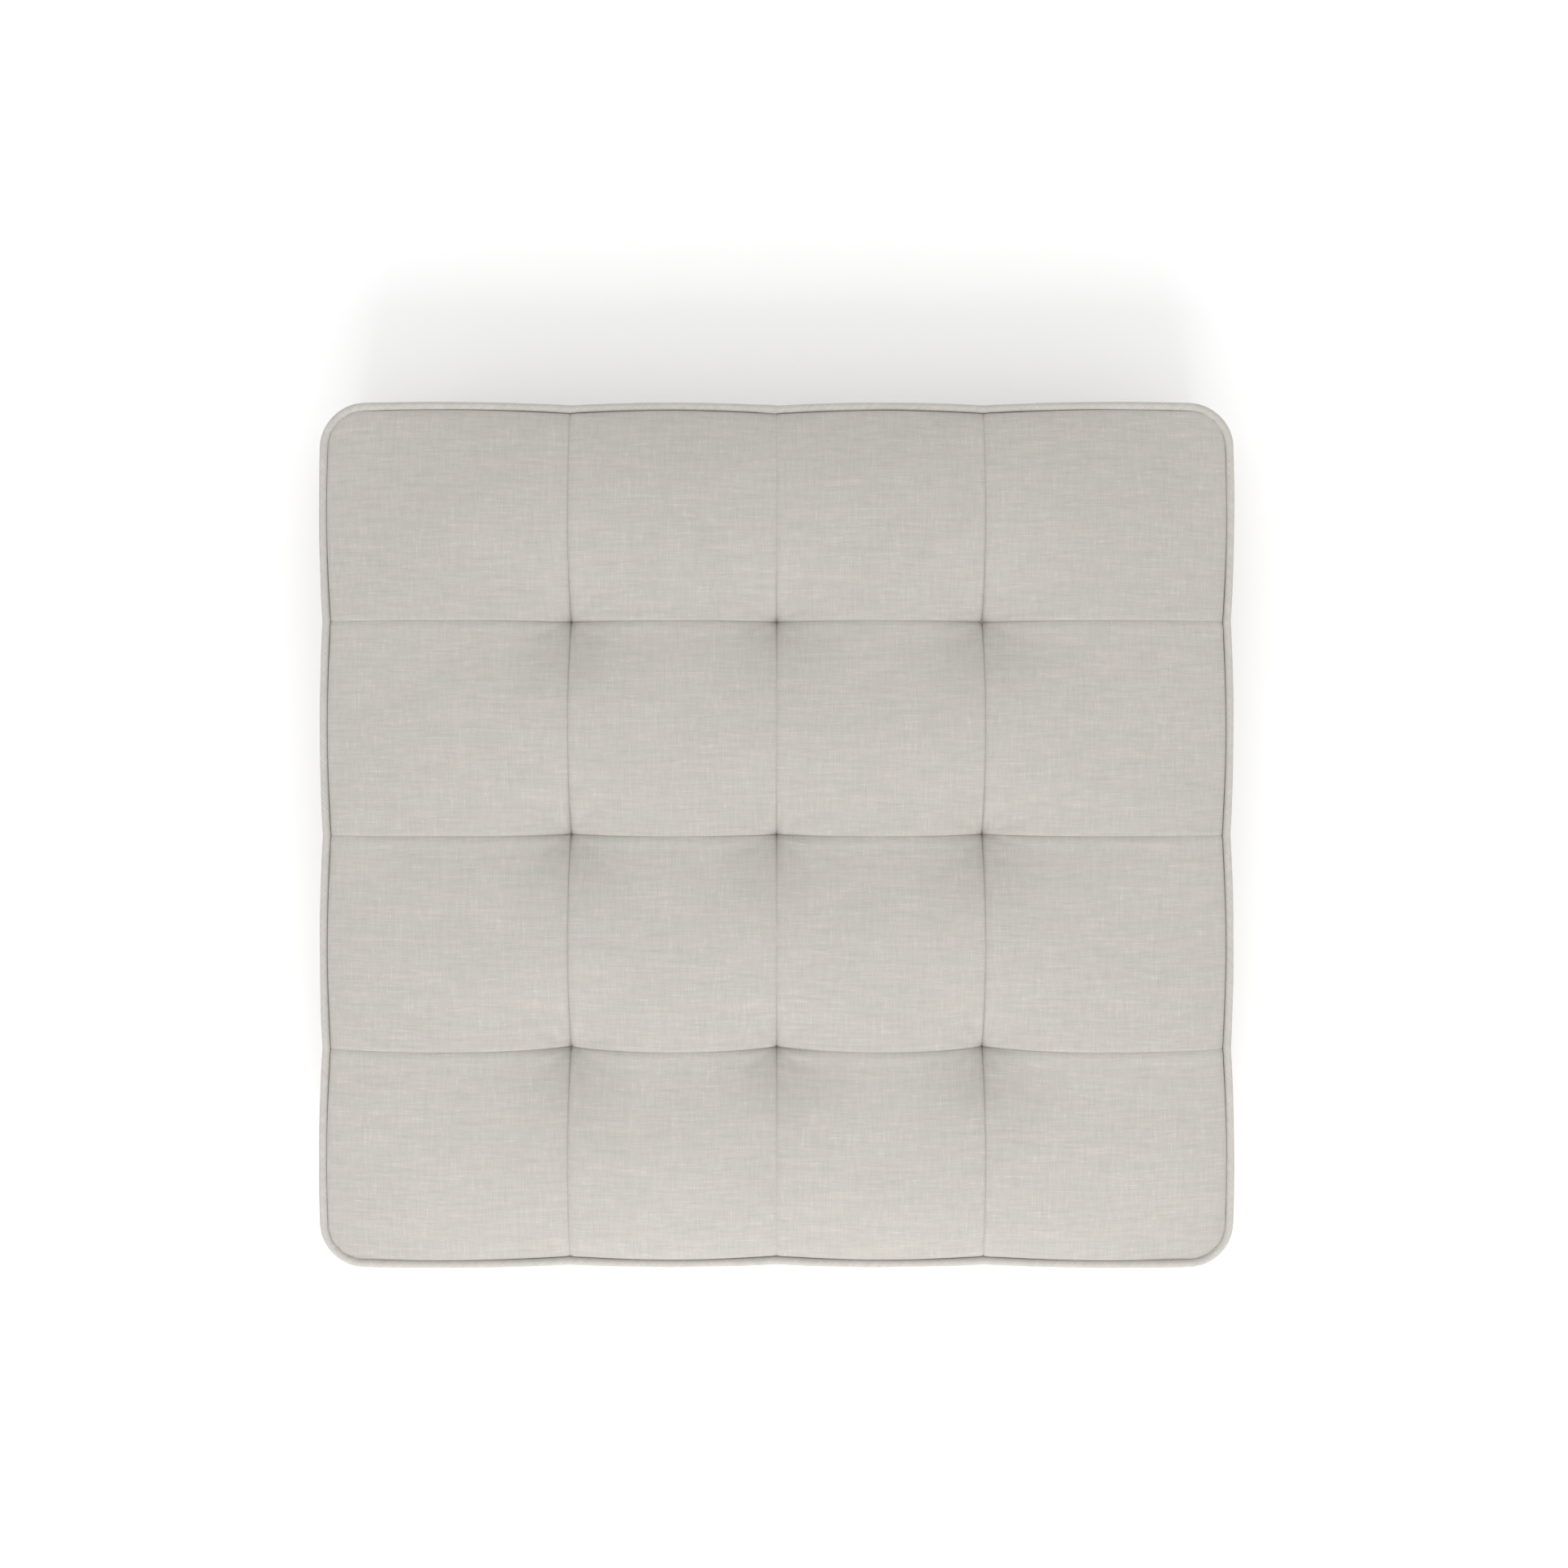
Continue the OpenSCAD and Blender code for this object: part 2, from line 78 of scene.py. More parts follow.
def new_finish(name):
    """A new material, its node tree and its shader."""
    material = bpy.data.materials.new(name)
    material.use_nodes = True
    return material, material.node_tree, material.node_tree.nodes["Principled BSDF"]


# Each soft light's place, width and power in watts
LIGHT_TARGET = np.array([0, 0, 0.1])
for name, place, width, power in (
    ("front_softbox", (0, -2.2, 1.7), 1.8, 40),
    ("left_softbox", (-2.6, 0.3, 2.0), 2.2, 5),
    ("right_softbox", (2.6, 0.3, 2.0), 2.2, 5),
):
    lamp_data = bpy.data.lights.new(name, "AREA")
    lamp_data.size = width
    lamp_data.energy = power
    lamp = placed(name, lamp_data)
    lamp.location = place
    aim = LIGHT_TARGET - np.array(place, float)
    tilt = math.atan2(math.hypot(aim[0], aim[1]), -aim[2])
    lamp.rotation_euler = (tilt, 0, math.atan2(aim[1], aim[0]) - math.pi / 2)

world = bpy.data.worlds.new("studio")
world.use_nodes = True
sky = world.node_tree.nodes["Background"]
sky.inputs["Color"].default_value = linear("#ffffff")
sky.inputs["Strength"].default_value = 0.95
bpy.context.scene.world = world

FLOOR_SIDE = 60.0
floor_mesh = bpy.data.meshes.new("floor")
half_floor = FLOOR_SIDE / 2
floor_corners = [(x * half_floor, y * half_floor, 0) for x, y in ((-1, -1), (1, -1), (1, 1), (-1, 1))]
floor_mesh.from_pydata(floor_corners, [], [(0, 1, 2, 3)])
floor = placed("floor", floor_mesh)
floor_paint, _, paint = new_finish("floor_paint")
paint.inputs["Base Color"].default_value = linear("#fafafa")
paint.inputs["Roughness"].default_value = 0.85
floor_mesh.materials.append(floor_paint)


# ---- Foam core and topper ----
# A slab of firm foam with a softer sheet laid on it, both sawn from block foam and left loose.
# Open cells give a matt, pitted face. They are drawn at 1.4 mm, three times as coarse as real ones.

FOAM_CELL = 0.0014
FOAM_EDGE = 0.0016
FOAM_PATCH = 0.0625
BEVEL_STEPS = 3


def add(tree, kind, inputs=None, **settings):
    """Adds a node with its settings. An input is a value, or what it is linked from: an output of
    another node, or that node itself for its first output."""
    node = tree.nodes.new("ShaderNode" + kind)
    for name, value in settings.items():
        setattr(node, name, value)
    for name, value in (inputs or {}).items():
        if isinstance(value, bpy.types.Node):
            value = value.outputs[0]
        if isinstance(value, bpy.types.NodeSocket):
            tree.links.new(value, node.inputs[name])
        else:
            node.inputs[name].default_value = value
    return node


def wear(shader, tree, colour, bump, **numbers):
    """Links a colour and a bump node to a shader, and sets its other inputs to plain numbers."""
    tree.links.new(colour.outputs[0], shader.inputs["Base Color"])
    tree.links.new(bump.outputs[0], shader.inputs["Normal"])
    for name, value in numbers.items():
        shader.inputs[name.replace("_", " ")].default_value = value


def sawn_foam(name, light, shade):
    material, tree, shader = new_finish(name)
    place = add(tree, "TexCoord").outputs["Object"]
    cells = add(tree, "TexVoronoi", {"Vector": place, "Scale": 1 / FOAM_CELL})
    patch = add(tree, "TexNoise", {"Vector": place, "Scale": 1 / FOAM_PATCH, "Detail": 3.0})
    colour = add(tree, "MixRGB", {"Fac": patch, "Color1": linear(shade), "Color2": linear(light)})
    bump = add(tree, "Bump", {"Height": cells, "Strength": 0.5, "Distance": 0.0006})
    wear(shader, tree, colour, bump, Roughness=0.92, Specular_IOR_Level=0.2)
    return material


def dress(piece, material, body="pad"):
    """Gives a piece its one material and the body that it moves with."""
    piece.data.materials.clear()
    piece.data.materials.append(material)
    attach(piece, body)


def eased_copy(node, name, radius):
    """A copy of a node's shape with its sharp edges rounded, which stands for the node."""
    tool = bmesh.new()
    tool.from_mesh(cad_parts[node].data)
    bmesh.ops.remove_doubles(tool, verts=tool.verts, dist=1e-6)
    bmesh.ops.dissolve_limit(tool, angle_limit=math.radians(1), verts=tool.verts, edges=tool.edges)
    sharp = [e for e in tool.edges if len(e.link_faces) == 2 and e.calc_face_angle() > math.radians(35)]
    bmesh.ops.bevel(
        tool,
        geom=sharp,
        offset=radius,
        segments=BEVEL_STEPS,
        profile=0.5,
        affect="EDGES",
        clamp_overlap=True,
    )
    mesh = bpy.data.meshes.new(name)
    tool.to_mesh(mesh)
    tool.free()
    mesh.shade_smooth()
    mesh.set_sharp_from_angle(angle=math.radians(50))
    piece = placed(name, mesh)
    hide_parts(node)
    return piece


core = eased_copy("foam_core", "foam_core_block", FOAM_EDGE)
dress(core, sawn_foam("firm_block_foam", "#efdca8", "#e3cb8e"))
topper = eased_copy("foam_topper", "foam_topper_sheet", FOAM_EDGE)
dress(topper, sawn_foam("soft_block_foam", "#f6ecce", "#eddfb6"))


# ---- Fibre sheets ----
# White polyester wadding, carded into a sheet: one under the foam and one between foam and front.
# Loose crossing fibres give a soft, cloudy white without gloss. A hair shows 11 by 1.1 mm.

FIBRE_EDGE = 0.003
HAIRS_ALONG = 90.0
HAIRS_ACROSS = 900.0


def wadding(name):
    material, tree, shader = new_finish(name)
    place = add(tree, "TexCoord").outputs["Object"]
    fine_along = (HAIRS_ALONG, HAIRS_ACROSS, HAIRS_ACROSS)
    fine_across = (HAIRS_ACROSS, HAIRS_ALONG, HAIRS_ACROSS)
    along = add(tree, "VectorMath", {0: place, 1: fine_along}, operation="MULTIPLY")
    across = add(tree, "VectorMath", {0: place, 1: fine_across}, operation="MULTIPLY")
    lengthwise = add(tree, "TexNoise", {"Vector": along, "Scale": 1.0, "Detail": 4.0})
    crosswise = add(tree, "TexNoise", {"Vector": across, "Scale": 1.0, "Detail": 4.0})
    hair = add(tree, "Math", {0: lengthwise, 1: crosswise}, operation="MAXIMUM")
    colour = add(tree, "MixRGB", {"Fac": hair, "Color1": linear("#d9d8d4"), "Color2": linear("#fbfbf8")})
    bump = add(tree, "Bump", {"Height": hair, "Strength": 0.7, "Distance": 0.001})
    wear(shader, tree, colour, bump, Roughness=0.95, Specular_IOR_Level=0.15, Sheen_Weight=0.3)
    return material


polyester_wadding = wadding("polyester_wadding")
for node, name in (("lower_fibre", "lower_fibre_sheet"), ("front_fibre", "front_fibre_sheet")):
    sheet = eased_copy(node, name, FIBRE_EDGE)
    dress(sheet, polyester_wadding)


# ---- The cover, sewn up and filled ----
# One closed skin that later gives the top, the walls and the piping their shape: a grid of cloth
# held down at nine tufts and along its sewn edges, then blown up by the filling behind it.

CLOTH = 0.0012
PIPING_R = 0.0035
CORNER_R = 0.032
SEAM_RISE = 0.018
PINCH = 0.62
CROWN = 0.95
COLS = 4
ROWS = 4
PANEL_STEPS = 24
START_CROWN = 0.30
FILL_PRESSURE = 2.0
FILL_FRAMES = 20
MOST_MOVE = 0.012
HELD_SEAM = 0.45


def node_box(node):
    low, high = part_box(node)
    return np.array(low), np.array(high)


def panel_node(i, j):
    return f"top_panel_r{j + 1}_c{i + 1}"


def crossing_lines(axis, boxes):
    """Where a row of panels begins, where each pair of them meets, and where it ends."""
    middles = [(boxes[k][1][axis] + boxes[k + 1][0][axis]) / 2 for k in range(len(boxes) - 1)]
    return np.array([boxes[0][0][axis], *middles, boxes[-1][1][axis]])


line_x = crossing_lines(0, [node_box(panel_node(i, 1)) for i in range(COLS)])
line_y = crossing_lines(1, [node_box(panel_node(1, j)) for j in range(ROWS)])
edge_z = node_box(panel_node(0, 0))[0][2] + CLOTH
tuft_z = node_box(panel_node(1, 1))[0][2] + CLOTH
top_piping_z = node_box("top_piping_cover")[1][2] - PIPING_R
bottom_piping_z = node_box("bottom_piping_cover")[0][2] + PIPING_R
piping_x = node_box("top_piping_cover")[1][0] - PIPING_R
base_z = node_box("base_cloth")[0][2]
wall_x = node_box("left_boxing")[0][0]
zip_low = node_box("rear_boxing_lower")[1][2]
zip_high = node_box("rear_boxing_upper")[0][2]
zip_z = (zip_low + zip_high) / 2
join_x = node_box("rear_boxing_upper")[1][0]
half_w = line_x[-1]
half_d = line_y[-1]
inner_r = CORNER_R - (-wall_x - CLOTH / 2 - half_w)


def swell(t, roundness=PINCH):
    """0 at both ends of a panel's side and 1 in its middle. Below 1, its ends are steeper."""
    return np.maximum(0, np.sin(np.pi * t)) ** roundness


def blend(a, b, t):
    return a + (b - a) * t


def panel_slices(i, j):
    """Where a panel's points lie in the whole top's grid."""
    return [slice(k * PANEL_STEPS, (k + 1) * PANEL_STEPS + 1) for k in (i, j)]


# Steps across a panel, finer beside its seams, where the cloth bends most
EVEN_SHARE = 0.3
even = np.linspace(0, 1, PANEL_STEPS + 1)
steps_across = EVEN_SHARE * even + (1 - EVEN_SHARE) * (1 - np.cos(np.pi * even)) / 2


def panel_height(i, j, s, t, fullness):
    """Height of the cloth at (s, t) across a panel. It rises steeply from the tufts, crosses the
    middles of the seams almost level, and crowns a little more in the panel's middle."""
    tuft = [[edge_z if a in (0, COLS) or b in (0, ROWS) else tuft_z for b in (j, j + 1)] for a in (i, i + 1)]
    rise_x = [0 if a in (0, COLS) else SEAM_RISE for a in (i, i + 1)]
    rise_y = [0 if b in (0, ROWS) else SEAM_RISE for b in (j, j + 1)]

    def slung(s, t):
        level = blend(blend(tuft[0][0], tuft[1][0], s), blend(tuft[0][1], tuft[1][1], s), t)
        return level + np.hypot(blend(*rise_y, t) * swell(s), blend(*rise_x, s) * swell(t))

    crown = node_box(panel_node(i, j))[1][2] - slung(0.5, 0.5)
    return slung(s, t) + fullness * crown * swell(s, CROWN) * swell(t, CROWN)


def into_corners(x, y):
    """Moves points in the square corners into the rounded ones."""
    a = np.maximum(0, np.abs(x) - (half_w - inner_r))
    b = np.maximum(0, np.abs(y) - (half_d - inner_r))
    round_a = a * np.sqrt(1 - b**2 / (2 * inner_r**2))
    round_b = b * np.sqrt(1 - a**2 / (2 * inner_r**2))
    return np.sign(x) * (np.abs(x) - a + round_a), np.sign(y) * (np.abs(y) - b + round_b)


def outwards(points):
    """For points on the outline, the directions that point straight out of it."""
    reach = np.array([half_w - inner_r, half_d - inner_r])
    away = points[..., :2] - np.clip(points[..., :2], -reach, reach)
    return away / np.maximum(1e-9, np.linalg.norm(away, axis=-1, keepdims=True))


def grid_faces(columns, rows, first=0, flip=False):
    """The four-sided faces of a grid of points that are numbered row by row within each column."""
    at = first + np.arange(columns * rows).reshape(columns, rows)
    faces = np.stack([at[:-1, :-1], at[1:, :-1], at[1:, 1:], at[:-1, 1:]], axis=-1).reshape(-1, 4)
    return faces[:, ::-1] if flip else faces


flat_x = np.concatenate([blend(line_x[i], line_x[i + 1], steps_across[i > 0 :]) for i in range(COLS)])
flat_y = np.concatenate([blend(line_y[j], line_y[j + 1], steps_across[j > 0 :]) for j in range(ROWS)])
skin_top = np.zeros((len(flat_x), len(flat_y), 3))
skin_top[..., 0], skin_top[..., 1] = into_corners(*np.meshgrid(flat_x, flat_y, indexing="ij"))
for i in range(COLS):
    for j in range(ROWS):
        s, t = np.meshgrid(steps_across, steps_across, indexing="ij")
        across, along = panel_slices(i, j)
        skin_top[across, along, 2] = panel_height(i, j, s, t, START_CROWN)

last_a = len(flat_x) - 1
last_b = len(flat_y) - 1
loop = (
    [(a, 0) for a in range(last_a)]
    + [(last_a, b) for b in range(last_b)]
    + [(a, last_b) for a in range(last_a, 0, -1)]
    + [(0, b) for b in range(last_b, 0, -1)]
)
loop_at = np.array(loop)
outline = skin_top[loop_at[:, 0], loop_at[:, 1]]
out = outwards(outline)

# Heights of the wall's rows, and how far each starts outside the top's sewn line
WALL_TUCK = 0.0005
WALL_TURN = 0.0014
WALL_BULGE = 0.0030
WALL_ROWS = 9
HEM_STAND = 0.0010
ALLOWANCE_DROP = 0.0012
wall_out = -wall_x - half_w
tuck_drops = np.array([ALLOWANCE_DROP, 0.0032, 0.0048])
tuck_high = top_piping_z - tuck_drops
tuck_low = bottom_piping_z + tuck_drops[::-1]
wall_high = np.linspace(tuck_high[-1], zip_high, WALL_ROWS)[1:]
wall_low = np.linspace(zip_low, tuck_low[0], WALL_ROWS)[:-1]
wall_z = np.concatenate([tuck_high, wall_high, [zip_z], wall_low, tuck_low])
tuck = np.array([WALL_TUCK, WALL_TURN, wall_out])
wall_start = np.full(len(wall_z), wall_out)
wall_start[: len(tuck)] = tuck
wall_start[-len(tuck) :] = tuck[::-1]
wall_share = np.clip((wall_z - tuck_low[0]) / (tuck_high[-1] - tuck_low[0]), 0, 1)
wall_start = wall_start + WALL_BULGE * np.sin(np.pi * wall_share)

skin_walls = np.zeros((len(wall_z), len(loop), 3))
for row, (z, start) in enumerate(zip(wall_z, wall_start)):
    skin_walls[row, :, :2] = outline[:, :2] + out * start
    skin_walls[row, :, 2] = z
zip_rows = [k for k, z in enumerate(wall_z) if zip_low - 1e-6 <= z <= zip_high + 1e-6]
at_zip = (outline[:, 1] > half_d - 1e-4) & (np.abs(outline[:, 0]) < join_x)
for row in zip_rows:
    skin_walls[row, at_zip, 1] = half_d + wall_out + HEM_STAND


def blown_up(points, faces, held, pressure, frames, most_move):
    """The points after Blender's cloth has been filled under pressure. Held points have weights to 1."""
    mesh = bpy.data.meshes.new("skin")
    mesh.from_pydata(points.tolist(), [], faces)
    piece = placed("skin", mesh)
    group = piece.vertex_groups.new(name="held")
    for weight in np.unique(held[held > 0]):
        group.add(np.nonzero(held == weight)[0].tolist(), float(weight), "REPLACE")
    cloth = piece.modifiers.new("cloth", "CLOTH")
    cloth.settings.quality = 5
    cloth.settings.vertex_group_mass = "held"
    cloth.settings.use_pressure = True
    cloth.settings.uniform_pressure_force = pressure
    cloth.settings.tension_stiffness = 15
    cloth.settings.compression_stiffness = 15
    cloth.settings.shear_stiffness = 5
    cloth.settings.bending_stiffness = 0.4
    cloth.settings.effector_weights.gravity = 0
    cloth.collision_settings.use_collision = False
    for step in range(1, frames + 1):
        bpy.context.scene.frame_set(step)
    swollen = piece.evaluated_get(bpy.context.evaluated_depsgraph_get())
    result = np.zeros(len(points) * 3, np.float32)
    swollen.data.vertices.foreach_get("co", result)
    bpy.data.objects.remove(piece)
    bpy.data.meshes.remove(mesh)
    bpy.context.scene.frame_set(1)
    move = result.reshape(-1, 3).astype(float) - points
    far = np.linalg.norm(move, axis=1, keepdims=True)
    return points + move * np.minimum(1, most_move / np.maximum(far, 1e-9))


top_count = skin_top.shape[0] * skin_top.shape[1]
loop_index = loop_at[:, 0] * skin_top.shape[1] + loop_at[:, 1]
rings = np.vstack([loop_index, top_count + np.arange(skin_walls.shape[0] * len(loop)).reshape(-1, len(loop))])
skin_faces = grid_faces(*skin_top.shape[:2]).tolist()
ring_next = np.roll(rings, -1, axis=1)
wall_faces = np.stack([rings[1:], ring_next[1:], ring_next[:-1], rings[:-1]], axis=-1)
skin_faces += wall_faces.reshape(-1, 4).tolist()
skin_faces.append(rings[-1][::-1].tolist())

skin_points = np.vstack([skin_top.reshape(-1, 3), skin_walls.reshape(-1, 3)])
held_top = np.zeros(skin_top.shape[:2])
seam_steps = [PANEL_STEPS * k for k in range(1, COLS)]
held_top[seam_steps, :] = HELD_SEAM
held_top[:, seam_steps] = HELD_SEAM
held_top[np.ix_(seam_steps, seam_steps)] = 1
held_top[[0, -1], :] = 1
held_top[:, [0, -1]] = 1
held_walls = np.zeros(skin_walls.shape[:2])
held_walls[: len(tuck)] = 1
held_walls[-len(tuck) :] = 1
held_walls[np.ix_(zip_rows, np.nonzero(at_zip)[0])] = 1
skin_points = blown_up(
    skin_points,
    skin_faces,
    np.concatenate([held_top.ravel(), held_walls.ravel()]),
    FILL_PRESSURE,
    FILL_FRAMES,
    MOST_MOVE,
)
skin_top = skin_points[:top_count].reshape(skin_top.shape)
skin_walls = skin_points[top_count:].reshape(skin_walls.shape)


# ---- How the filled cover is finished off ----
# What sewing does to the filled cover: the seams cut in, the tufts pull the cloth down into soft
# folds, and the edges draw in a little at the seams' ends and along each side's middle.

# Depth of each seam's groove midway between tufts: seams from front to rear, then side to side
GROOVES_X = (0.0012, 0.0005, 0.0012)
GROOVES_Y = (0.0006, 0.0006, 0.0006)
GROOVE_TUFT = 0.0020
GROOVE_W = 0.0013
GROOVE_REACH = 0.040
TUFT_PULL = 0.0036
TUFT_REACH = 0.012
TUFT_HOLLOWS = (0.0068, 0.0048, 0.0068)
TUFT_HOLLOW_REACH = 0.042
RIDGE_H = 0.0005
RIDGE_AT = 0.0055
RIDGE_W = 0.0035
PUCKER_H = 0.00022
PUCKER_PITCH = 0.014
PUCKER_REACH = 0.009
FOLD_H = 0.0005
FOLDS = 9
FOLD_AT = 0.020
FOLD_W = 0.012
WAVE_H = 0.00042
SCALLOP = 0.0026
DRAW_IN = 0.0014
DRAW_REACH = 0.080
OVERHANG = 0.0042
OVERHANG_AT = 0.007
SEAM_ROUND = 0.7
SCALLOP_ROUND = 0.8
SCALLOP_LEVEL = 0.55
LOW_DRAW = 0.6
WAVES = 9
WAVE_LONG = (0.05, 0.15)
WAVE_EDGE = 0.02
SHEET_CREASE = 65

chance = np.random.default_rng(7)
wave_turn = chance.uniform(0, 2 * np.pi, WAVES)
wave_length = chance.uniform(*WAVE_LONG, WAVES)
wave_shift = chance.uniform(0, 2 * np.pi, WAVES)


def soft_waves(x, y):
    """A slow, uneven rise and fall of the filling, from -1 to 1 or so."""
    total = 0
    for turn, length, shift in zip(wave_turn, wave_length, wave_shift):
        total = total + np.sin(2 * np.pi * (x * math.cos(turn) + y * math.sin(turn)) / length + shift)
    return total / 3


def along_panels(value, lines):
    """How far each value has come across its own panel, from 0 to 1."""
    k = np.clip(np.searchsorted(lines, value, side="right") - 1, 0, len(lines) - 2)
    return (value - lines[k]) / (lines[k + 1] - lines[k])


def drawn_in(points):
    """The points after the sewn edges have drawn in."""
    x, y, z = points[..., 0], points[..., 1], points[..., 2]
    high = np.clip((z - zip_z) / (top_piping_z - zip_z), 0, 1)
    low = np.clip((zip_z - z) / (zip_z - bottom_piping_z), 0, 1)

    def shift(run, lines, side):
        across = along_panels(np.clip(run, lines[0], lines[-1]), lines)
        scallop = SCALLOP * (swell(across, SCALLOP_ROUND) - SCALLOP_LEVEL)
        middle = DRAW_IN * (1 - np.clip(run / lines[-1], -1, 1) ** 2)
        fade = np.exp(-np.maximum(0, side) / DRAW_REACH)
        return fade * (high * (scallop - middle) - LOW_DRAW * low * middle)

    result = points.copy()
    result[..., 0] += np.sign(x) * shift(y, line_y, half_w - np.abs(x))
    result[..., 1] += np.sign(y) * shift(x, line_x, half_d - np.abs(y))
    return result


def spline(steps, at):
    """A matrix that takes steps + 1 values to a smooth curve's values at the given steps."""
    whole = np.clip(np.floor(at).astype(int), 0, steps - 1)
    part = at - whole
    weights = np.array(
        [
            -0.5 * part + part**2 - 0.5 * part**3,
            1 - 2.5 * part**2 + 1.5 * part**3,
            0.5 * part + 2 * part**2 - 1.5 * part**3,
            -0.5 * part**2 + 0.5 * part**3,
        ]
    )
    matrix = np.zeros((len(at), steps + 3))
    for k in range(4):
        matrix[np.arange(len(at)), whole + k] += weights[k]
    matrix[:, 1] += 2 * matrix[:, 0]
    matrix[:, 2] -= matrix[:, 0]
    matrix[:, -2] += 2 * matrix[:, -1]
    matrix[:, -3] -= matrix[:, -1]
    return matrix[:, 1:-1]


# Close steps beside a seam, and two for each of the skin's steps elsewhere
near_seam = np.array([0, 0.12, 0.3, 0.6])
fine_steps = np.concatenate([near_seam, np.arange(2, 2 * PANEL_STEPS - 1) / 2, PANEL_STEPS - near_seam[::-1]])


def bell(value, middle, width):
    """1 at the middle, falling away on both sides of it."""
    return np.exp(-(((value - middle) / width) ** 2))


def sewn_lift(x, y):
    """How far sewing and tufting raise or lower the filled cloth at its flat places."""
    tuft_r = np.full(x.shape, 1.0)
    hollow, cut = np.zeros(x.shape), np.zeros(x.shape)
    edge = np.minimum(half_w - np.abs(x), half_d - np.abs(y))
    lift = WAVE_H * soft_waves(x, y) * (1 - np.exp(-edge / WAVE_EDGE))
    for a, seam_x in enumerate(line_x[1:-1]):
        for b, seam_y in enumerate(line_y[1:-1]):
            r = np.hypot(x - seam_x, y - seam_y)
            turn = np.arctan2(y - seam_y, x - seam_x)
            folds = np.cos(FOLDS * turn + 2.1 * a + 1.3 * b)
            lift += FOLD_H * folds * bell(r, FOLD_AT, FOLD_W)
            hollow = np.maximum(hollow, TUFT_HOLLOWS[a] * bell(r, 0, TUFT_HOLLOW_REACH))
            tuft_r = np.minimum(tuft_r, r)
    lift -= TUFT_PULL * np.exp(-tuft_r / TUFT_REACH) + hollow
    near_tuft = GROOVE_TUFT * np.exp(-tuft_r / GROOVE_REACH)
    for across, run, across_lines, run_lines, depths, ridge_side in (
        (x, y, line_x, line_y, GROOVES_X, 1),
        (y, x, line_y, line_x, GROOVES_Y, -1),
    ):
        middle = swell(along_panels(run, run_lines), SEAM_ROUND)
        for index, seam in enumerate(across_lines[1:-1]):
            far = np.abs(across - seam)
            cut = np.maximum(cut, (depths[index] + near_tuft) * np.exp(-far / GROOVE_W))
            pucker = np.cos(2 * np.pi * run / PUCKER_PITCH + 3 * index)
            lift += PUCKER_H * middle * np.exp(-far / PUCKER_REACH) * pucker
            lift += RIDGE_H * (bell(far, RIDGE_AT, RIDGE_W) * (ridge_side * (across - seam) > 0))
    return lift - cut


def finished_panel(i, j):
    """Fine points of one panel, and their places on the flat cloth."""
    curve = spline(PANEL_STEPS, fine_steps)
    across, along = panel_slices(i, j)
    points = np.einsum("ap,pqk,bq->abk", curve, skin_top[across, along], curve)
    x, y = np.meshgrid(curve @ flat_x[across], curve @ flat_y[along], indexing="ij")
    for far, run, lines in ((half_w - np.abs(x), y, line_y), (half_d - np.abs(y), x, line_x)):
        middle = swell(along_panels(run, lines), SEAM_ROUND)
        bulge = OVERHANG * (0.25 + 0.75 * middle) * (far / OVERHANG_AT) * np.exp(1 - far / OVERHANG_AT)
        points[..., :2] += outwards(points) * bulge[..., None]
    points[..., 2] += sewn_lift(x, y)
    return drawn_in(points), np.stack([x, y], axis=-1)


def closed_faces(columns, rows, first=0):
    """The faces of a closed sheet: its outer grid, its inner one, which comes next, and its rim."""
    count = columns * rows
    at = first + np.arange(count).reshape(columns, rows)
    rim = np.concatenate([at[:-1, 0], at[-1, :-1], at[:0:-1, -1], at[0, :0:-1]])
    ahead = np.roll(rim, -1)
    return [
        grid_faces(columns, rows, first),
        grid_faces(columns, rows, first + count, flip=True),
        np.stack([ahead, rim, rim + count, ahead + count], axis=-1),
    ]


def new_piece(name, points, faces, crease=None):
    """A smooth piece of points and faces. Edges that bend more than crease, in degrees, stay sharp."""
    mesh = bpy.data.meshes.new(name)
    mesh.from_pydata(points.tolist(), [], faces)
    mesh.shade_smooth()
    if crease:
        mesh.set_sharp_from_angle(angle=math.radians(crease))
    return placed(name, mesh)


def cloth_sheet(name, patches, thickness):
    """A sheet of cloth as thick as it really is. Each patch is a grid of points on its outer face
    and their places on the flat cloth, which the weave follows."""
    points, faces, flats = [], [], []
    first = 0
    for outer, flat in patches:
        normal = np.cross(np.gradient(outer, axis=0), np.gradient(outer, axis=1))
        normal /= np.maximum(1e-12, np.linalg.norm(normal, axis=-1, keepdims=True))
        points += [outer.reshape(-1, 3), (outer - normal * thickness).reshape(-1, 3)]
        flats += [flat.reshape(-1, 2)] * 2
        faces += closed_faces(*outer.shape[:2], first)
        first += 2 * outer.shape[0] * outer.shape[1]
    piece = new_piece(name, np.vstack(points), np.vstack(faces).tolist(), SHEET_CREASE)
    places = np.zeros((first, 3), np.float32)
    places[:, :2] = np.vstack(flats)
    piece.data.attributes.new("cloth", "FLOAT_VECTOR", "POINT").data.foreach_set("vector", places.ravel())
    return piece


# ---- Tufted top ----
# Sixteen pieces of a linen-look upholstery cloth, sewn together and held down at nine blind tufts.
# Matt, with slubs in both threads and a slow drift of tone. Threads are drawn 1.3 mm apart, twice
# as coarse as real ones, so that they show.

THREAD_PITCH = 0.0013
THREAD_SWAY = 0.0016
WEFT_SLUB = 0.016
WARP_SLUB = 0.014


